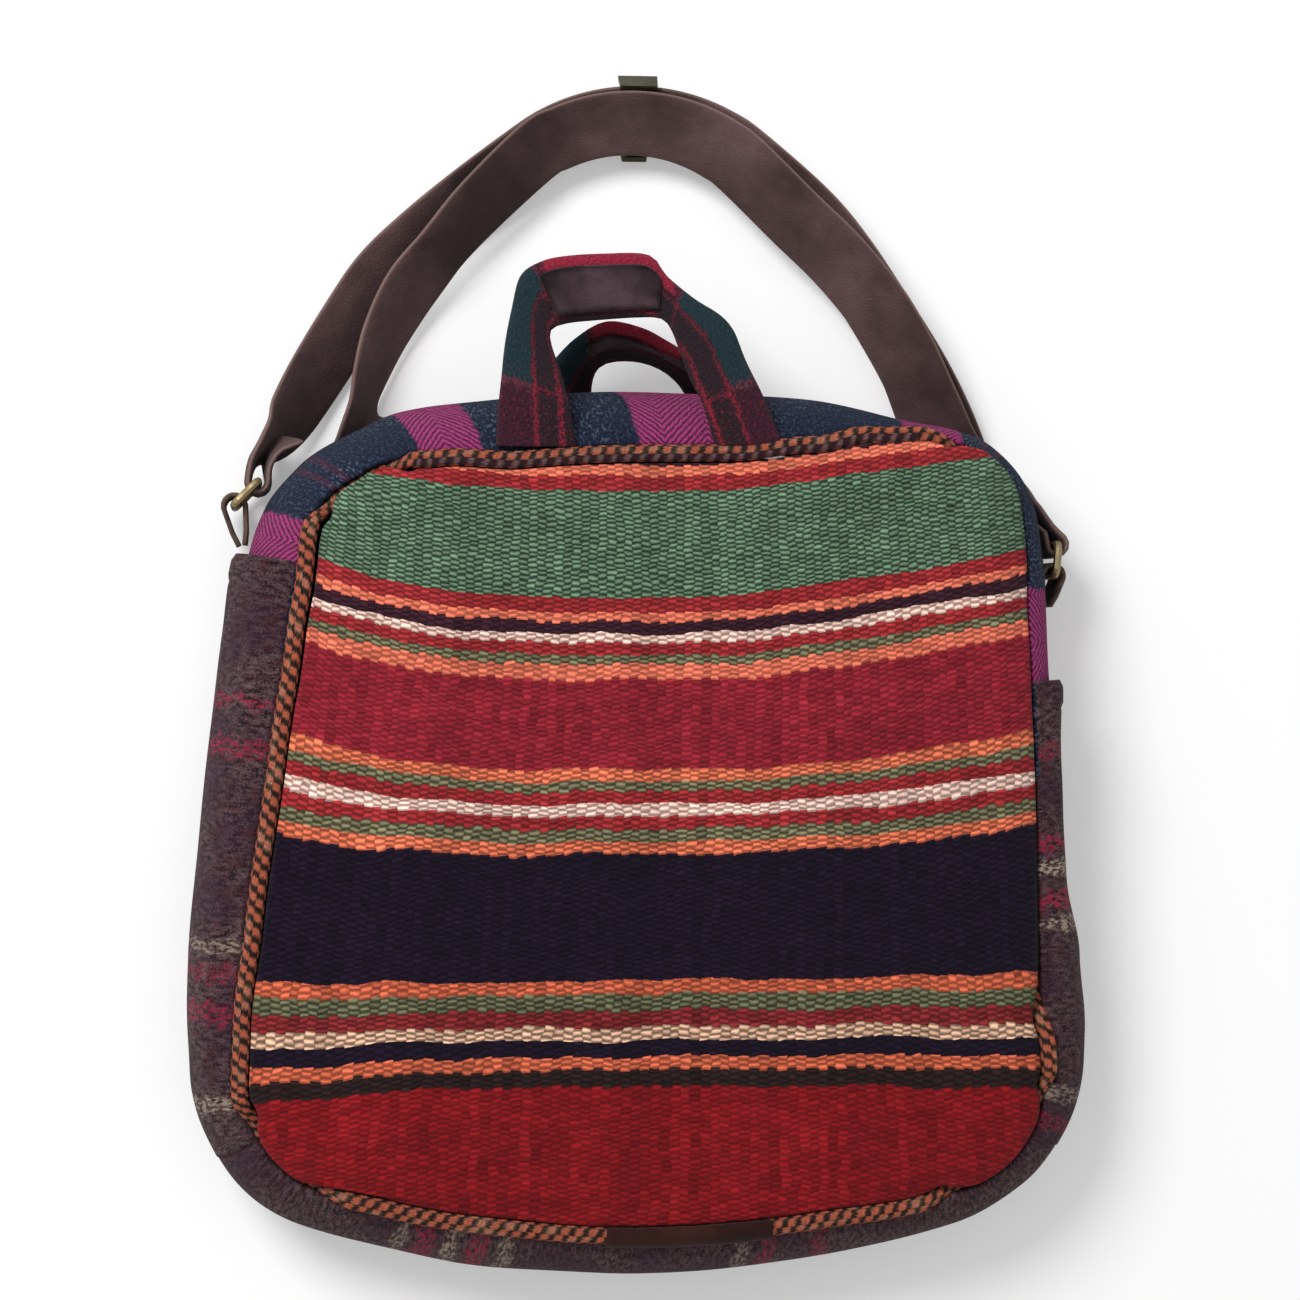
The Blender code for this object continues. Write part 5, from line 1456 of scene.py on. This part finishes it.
def handle_sections(outer, inner, count):
    """Centre, half width and half thickness along a handle, with the distance walked."""
    outer, inner = through(outer, HANDLE_STEP), through(inner, HANDLE_STEP)
    picked = []
    for index in range(count + 1):
        ends = []
        for edge in (outer, inner):
            place = index / count * (len(edge) - 1)
            low = min(int(place), len(edge) - 2)
            ends.append(Vector(edge[low]).lerp(Vector(edge[low + 1]), place - low))
        picked.append(ends)
    sections = []
    walked = 0.0
    for index, (a, b) in enumerate(picked):
        ahead, behind = picked[min(index + 1, count)], picked[max(index - 1, 0)]
        along = sum(ahead, Vector()) - sum(behind, Vector())
        half = (a - b) / 2
        rise = along.cross(half).normalized() * HANDLE_THICKNESS / 2
        if index:
            walked += ((a + b) / 2 - sum(picked[index - 1], Vector()) / 2).length
        sections.append(((a + b) / 2, half, rise, walked))
    if sections[count // 2][2].z < 0:
        sections = [(centre, half, -rise, walked) for centre, half, rise, walked in sections]
    return sections


def strip_piece(name, sections, around, cloth_length, flatness=0.42):
    """Padded strip with rounded edges, charted over its cloth's length; a low flatness makes it boxier."""
    last = len(sections) - 1
    drawn = cloth_length / sections[-1][3]

    def sideways(turn):
        return math.copysign(abs(math.cos(turn)) ** flatness, math.cos(turn))

    def place(along, around_share):
        centre, half, rise, _ = sections[round(along * last)]
        turn = 2.0 * math.pi * around_share
        upward = math.copysign(abs(math.sin(turn)) ** EDGE_ROUNDING, math.sin(turn))
        return centre + half * sideways(turn) + rise * upward

    def measure(along, around_share):
        _, half, _, walked = sections[round(along * last)]
        return walked * drawn, sideways(2.0 * math.pi * around_share) * half.length

    return tube_piece(name, last, around, place, measure)


def plaid_wool():
    """Woolly plaid: wine at the roots, teal above, crimson at the middle, and crossed by crimson lines."""
    finish, line = wool_twill("plaid_wool", 0.0021, 0.05)
    soft = woolly(finish, line, 0.12)
    sway = (finish.grain(420.0, 4.0) - 0.5) * 0.006
    from_root = finish.calc("PINGPONG", finish.along, HANDLE_HALF_LENGTH) + sway
    across = finish.across + sway * 0.5

    def within(value, low, high, blur=0.0014):
        return finish.spread(value, low, low + blur) * finish.spread(value, high, high - blur)

    colour = finish.mix(finish.spread(from_root, 0.016, 0.018), PLAID_WINE, PLAID_TEAL)
    colour = finish.mix(finish.spread(from_root, 0.048, 0.050), colour, PLAID_WINE)
    colour = finish.mix(finish.spread(across, 0.0015, 0.0005), colour, PLAID_DARK)
    top = finish.spread(from_root, 0.05, 0.052) * finish.spread(across, 0.002, 0.003)
    colour = finish.mix(top, colour, PLAID_RED)
    near_root = finish.spread(from_root, 0.030, 0.018, 0.45, 0.95)
    for value, low, high, share in (
        (across, -0.0012, 0.0012, near_root),
        (across, -0.0100, -0.0072, near_root),
        (from_root, 0.0165, 0.0190, 0.5),
        (from_root, 0.0480, 0.0500, 0.6),
    ):
        mask = within(value, low, high) * share * finish.spread(soft, 0.1, 0.5)
        colour = finish.mix(mask, colour, PLAID_RED)
    fleck = finish.spread(finish.grain(900.0, 2.0), 0.56, 0.72, 0.0, 0.5)
    colour = finish.mix(fleck * finish.spread(from_root, 0.024, 0.018), colour, PLAID_RED)
    colour = finish.shade(colour, 0.62, 1.30, soft)
    colour = finish.shade(colour, 0.72, 1.28, finish.grain(1900.0, 2.0))
    height = soft + finish.grain(1500.0, 3.0)
    return finish.done(colour, height, 0.0005)


def grip_piece(name, sections, low_margin, high_margin):
    """Suede plate on a handle's upper face, with a stitched, pressed-down border."""
    last = len(sections) - 1

    def place(along, across):
        centre, half, rise, _ = sections[round(along * last)]
        length = half.length
        share = (-length + low_margin + (2.0 * length - low_margin - high_margin) * across) / length
        from_side, from_end = min(across, 1.0 - across), min(along, 1.0 - along)
        border = smooth(min(from_side / GRIP_SIDE_BORDER, from_end / GRIP_END_BORDER))
        spot = centre + half * share
        slanted = Vector((spot.x + spot.y, GRIP_CREASE_SQUEEZE * (spot.x - spot.y), 0.0))
        crease = GRIP_CREASE * ripple(slanted, GRIP_CREASE_SIZE, seed=3.0)
        thick = GRIP_THICKNESS * (GRIP_BORDER_SHARE + GRIP_INNER_SHARE * border)
        height = GRIP_GAP + thick + crease * border
        return spot + rise + rise.normalized() * height

    def measure(along, across):
        return GRIP_PLATE[0] * along, GRIP_PLATE[1] * across

    centre, _, rise, _ = sections[last // 2]
    below = centre - rise.normalized() * GRIP_BELOW
    return cloth_piece(name, last, GRIP_ROWS, place, measure, GRIP_HIDE_THICKNESS, below)


plaid = plaid_wool()
grip_hide = brown_suede("grip_suede", GRIP, GRIP_DARK, 60.0, None, GRIP_PLATE)
for name, outer, inner, first, last, low_margin, high_margin, flat, area in HANDLES:
    sections = handle_sections(outer, inner, HANDLE_STATIONS)
    strip = strip_piece(name + "_plaid", sections, HANDLE_AROUND, 2.0 * HANDLE_HALF_LENGTH)
    dressed(strip, plaid, name)
    grip = grip_piece(name + "_suede", sections[first : last + 1], low_margin, high_margin)
    dressed(grip, grip_hide, name + "_grip")


# Tabs and rings
# A folded leather tab is sewn to each side and holds a ring of brass wire. The ring's other bar carries the
# strap.

TAB_COLOUR = tint(112, 92, 80)
TAB_DARK = tint(66, 50, 44)

tab_hide = brown_suede("tab_leather", TAB_COLOUR, TAB_DARK, 90.0)
for tab in ("left_tab", "right_tab"):
    recoat(tab, tab_hide)
for ring in ("left_ring", "right_ring"):
    recoat(ring, brass)


# Shoulder strap
# One long strap of soft brown suede, folded round the ring bars at its ends. It leaves the left ring, makes
# a wide turn on the table, passes under the bag's back, and makes a second turn on the first one. A dark
# metal slide sits on its outer turn.

STRAP_WIDTH = 0.025
STRAP_THICKNESS = 0.0026
STRAP_LEAN = 37.0
TURN_CENTRE = (0.0012, 0.185)
TURN_RADIUS = 0.060
TURN_HEIGHT = 0.0123
INNER_SHIFT = (-0.0018, -0.0010)
INNER_TURN_RADIUS = TURN_RADIUS - 0.0015
INNER_TURN_HEIGHT = TURN_HEIGHT + 0.0055
STRAP_STEP = 0.002
STRAP_AROUND = 16
STRAP_FLATNESS = 0.3
SLIDE_SOFT_EDGE = 0.0005
# Start and end angle of each round part of the route in degrees, and its number of steps
OUTER_TURN = (128.0, 52.0, 8)
INNER_TURN = (124.0, 50.0, 8)
LEFT_LOOP = (0.0, -180.0, 6)
RIGHT_LOOP = (40.0, -180.0, 7)
LOOP_TILT = 90.0
LEFT_BAR = Vector((-0.1281, 0.1184, 0.0200))
RIGHT_BAR = Vector((0.1447, 0.0982, 0.0195))
BAR_LOOP = 0.0034
STRAP_LIGHT = tint(102, 78, 78)
STRAP_DARK = tint(62, 46, 46)
# The strap's route as points of its middle line, each with the strap's tilt in degrees. Next to a ring they
# are measured from its strap bar
LEFT_TAIL = (
    (0.0087, 0.0154, -0.0027, 62.0),
    (0.0045, 0.0102, -0.0008, 76.0),
    (0.0033, 0.0050, -0.0003, 86.0),
)
LEFT_LEAD = (
    (-0.0021, 0.0066, -0.0004, 88.0),
    (0.0022, 0.0121, -0.0016, 76.0),
    (0.0095, 0.0206, -0.0060, 52.0),
)
# Points on the floor and under the bag
LEFT_RISE = (
    (-0.1087, 0.1553, 0.0106, 40.0),
    (-0.0978, 0.1730, 0.0100, 37.0),
    (-0.0867, 0.1895, 0.0098, 37.0),
    (-0.0735, 0.2025, 0.0106, 37.0),
    (-0.0560, 0.2170, 0.0117, 37.0),
)
UNDER_BAG = (
    (0.0600, 0.2137, 0.0117, 37.0),
    (0.0735, 0.1985, 0.0102, 37.0),
    (0.0873, 0.1784, 0.0090, 36.0),
    (0.1003, 0.1571, 0.0076, 28.0),
    (0.1110, 0.1350, 0.0046, 12.0),
    (0.1165, 0.1190, 0.0022, 2.0),
    (0.1160, 0.1050, 0.0017, 0.0),
    (0.1095, 0.0910, 0.0017, 0.0),
    (0.0970, 0.0805, 0.0017, 0.0),
    (0.0800, 0.0750, 0.0017, 0.0),
    (0.0500, 0.0727, 0.0017, 0.0),
    (0.0000, 0.0722, 0.0017, 0.0),
    (-0.0450, 0.0730, 0.0017, 0.0),
    (-0.0650, 0.0785, 0.0017, 0.0),
    (-0.0800, 0.0910, 0.0017, 0.0),
    (-0.0880, 0.1070, 0.0017, 0.0),
    (-0.0915, 0.1220, 0.0035, 12.0),
    (-0.0930, 0.1315, 0.0070, 27.0),
    (-0.0935, 0.1385, 0.0116, 55.0),
    (-0.0925, 0.1460, 0.0130, 68.0),
    (-0.0900, 0.1560, 0.0132, 62.0),
    (-0.0850, 0.1695, 0.0128, 52.0),
    (-0.0765, 0.1850, 0.0140, 44.0),
    (-0.0660, 0.1985, 0.0175, 48.0),
    (-0.0530, 0.2135, 0.0178, 42.0),
)
RIGHT_FALL = (
    (0.0560, 0.2105, 0.0176, 37.0),
    (0.0712, 0.1965, 0.0158, 37.0),
    (0.0850, 0.1805, 0.0140, 38.0),
    (0.0952, 0.1640, 0.0126, 38.0),
    (0.1030, 0.1470, 0.0106, 32.0),
    (0.1095, 0.1320, 0.0082, 15.0),
    (0.1180, 0.1215, 0.0055, 4.0),
)
RIGHT_LEAD = (
    (-0.0172, 0.0160, -0.0105, 28.0),
    (-0.0092, 0.0116, -0.0053, 56.0),
    (-0.0038, 0.0078, -0.0016, 78.0),
    (-0.0004, 0.0047, -0.0003, 88.0),
)
RIGHT_TAIL = (
    (-0.0035, 0.0027, -0.0002, 88.0),
    (-0.0050, 0.0053, -0.0009, 82.0),
)


def from_bar(bar, points):
    """Strap points measured from a ring's bar."""
    return [(bar.x + x, bar.y + y, bar.z + z, tilt) for x, y, z, tilt in points]


def round_points(centre, radius, height, tilt, start, end, count):
    """Strap points on part of a circle, from one angle to another."""
    points = []
    for index in range(count + 1):
        angle = math.radians(start + (end - start) * index / count)
        x, y = radius * math.cos(angle), radius * math.sin(angle)
        points.append((centre[0] + x, centre[1] + y, height, tilt))
    return points


def strap_sections():
    """Centre, half width, half thickness and distance walked along the strap's whole route."""
    inner = (TURN_CENTRE[0] + INNER_SHIFT[0], TURN_CENTRE[1] + INNER_SHIFT[1])
    route = from_bar(LEFT_BAR, LEFT_TAIL)
    route += round_points(LEFT_BAR, BAR_LOOP, LEFT_BAR.z, LOOP_TILT, *LEFT_LOOP)
    route += from_bar(LEFT_BAR, LEFT_LEAD)
    route += LEFT_RISE
    route += round_points(TURN_CENTRE, TURN_RADIUS, TURN_HEIGHT, STRAP_LEAN, *OUTER_TURN)
    route += UNDER_BAG
    route += round_points(inner, INNER_TURN_RADIUS, INNER_TURN_HEIGHT, STRAP_LEAN, *INNER_TURN)
    route += RIGHT_FALL
    route += from_bar(RIGHT_BAR, RIGHT_LEAD)
    route += round_points(RIGHT_BAR, BAR_LOOP, RIGHT_BAR.z, LOOP_TILT, *RIGHT_LOOP)
    route += from_bar(RIGHT_BAR, RIGHT_TAIL)
    route = through(route, STRAP_STEP)
    centres = [Vector(point[:3]) for point in route]
    sections = []
    walked = 0.0
    for index, point in enumerate(route):
        ahead = centres[min(index + 1, len(centres) - 1)]
        behind = centres[max(index - 1, 0)]
        along = (ahead - behind).normalized()
        aside = Vector((-along.y, along.x, 0.0)).normalized()
        tilt = math.radians(point[3])
        width = aside * math.cos(tilt) + Vector((0.0, 0.0, math.sin(tilt)))
        half = (width - along * width.dot(along)).normalized() * STRAP_WIDTH / 2
        rise = along.cross(half).normalized() * STRAP_THICKNESS / 2
        if index:
            walked += (centres[index] - centres[index - 1]).length
        sections.append((centres[index], half, rise, walked))
    return sections


strap_route = strap_sections()
strap = strip_piece("suede_strap", strap_route, STRAP_AROUND, strap_route[-1][3], STRAP_FLATNESS)
# The strap's rims, at half its width, get the painted highlight
strap_hide = brown_suede("strap_suede", STRAP_LIGHT, STRAP_DARK, 22.0, STRAP_WIDTH / 2)
dressed(strap, strap_hide, "shoulder_strap")

lacquer = aged_metal("dark_lacquer", LACQUER_WORN, LACQUER, 0.42)
recoat("strap_slide", lacquer, SLIDE_SOFT_EDGE)
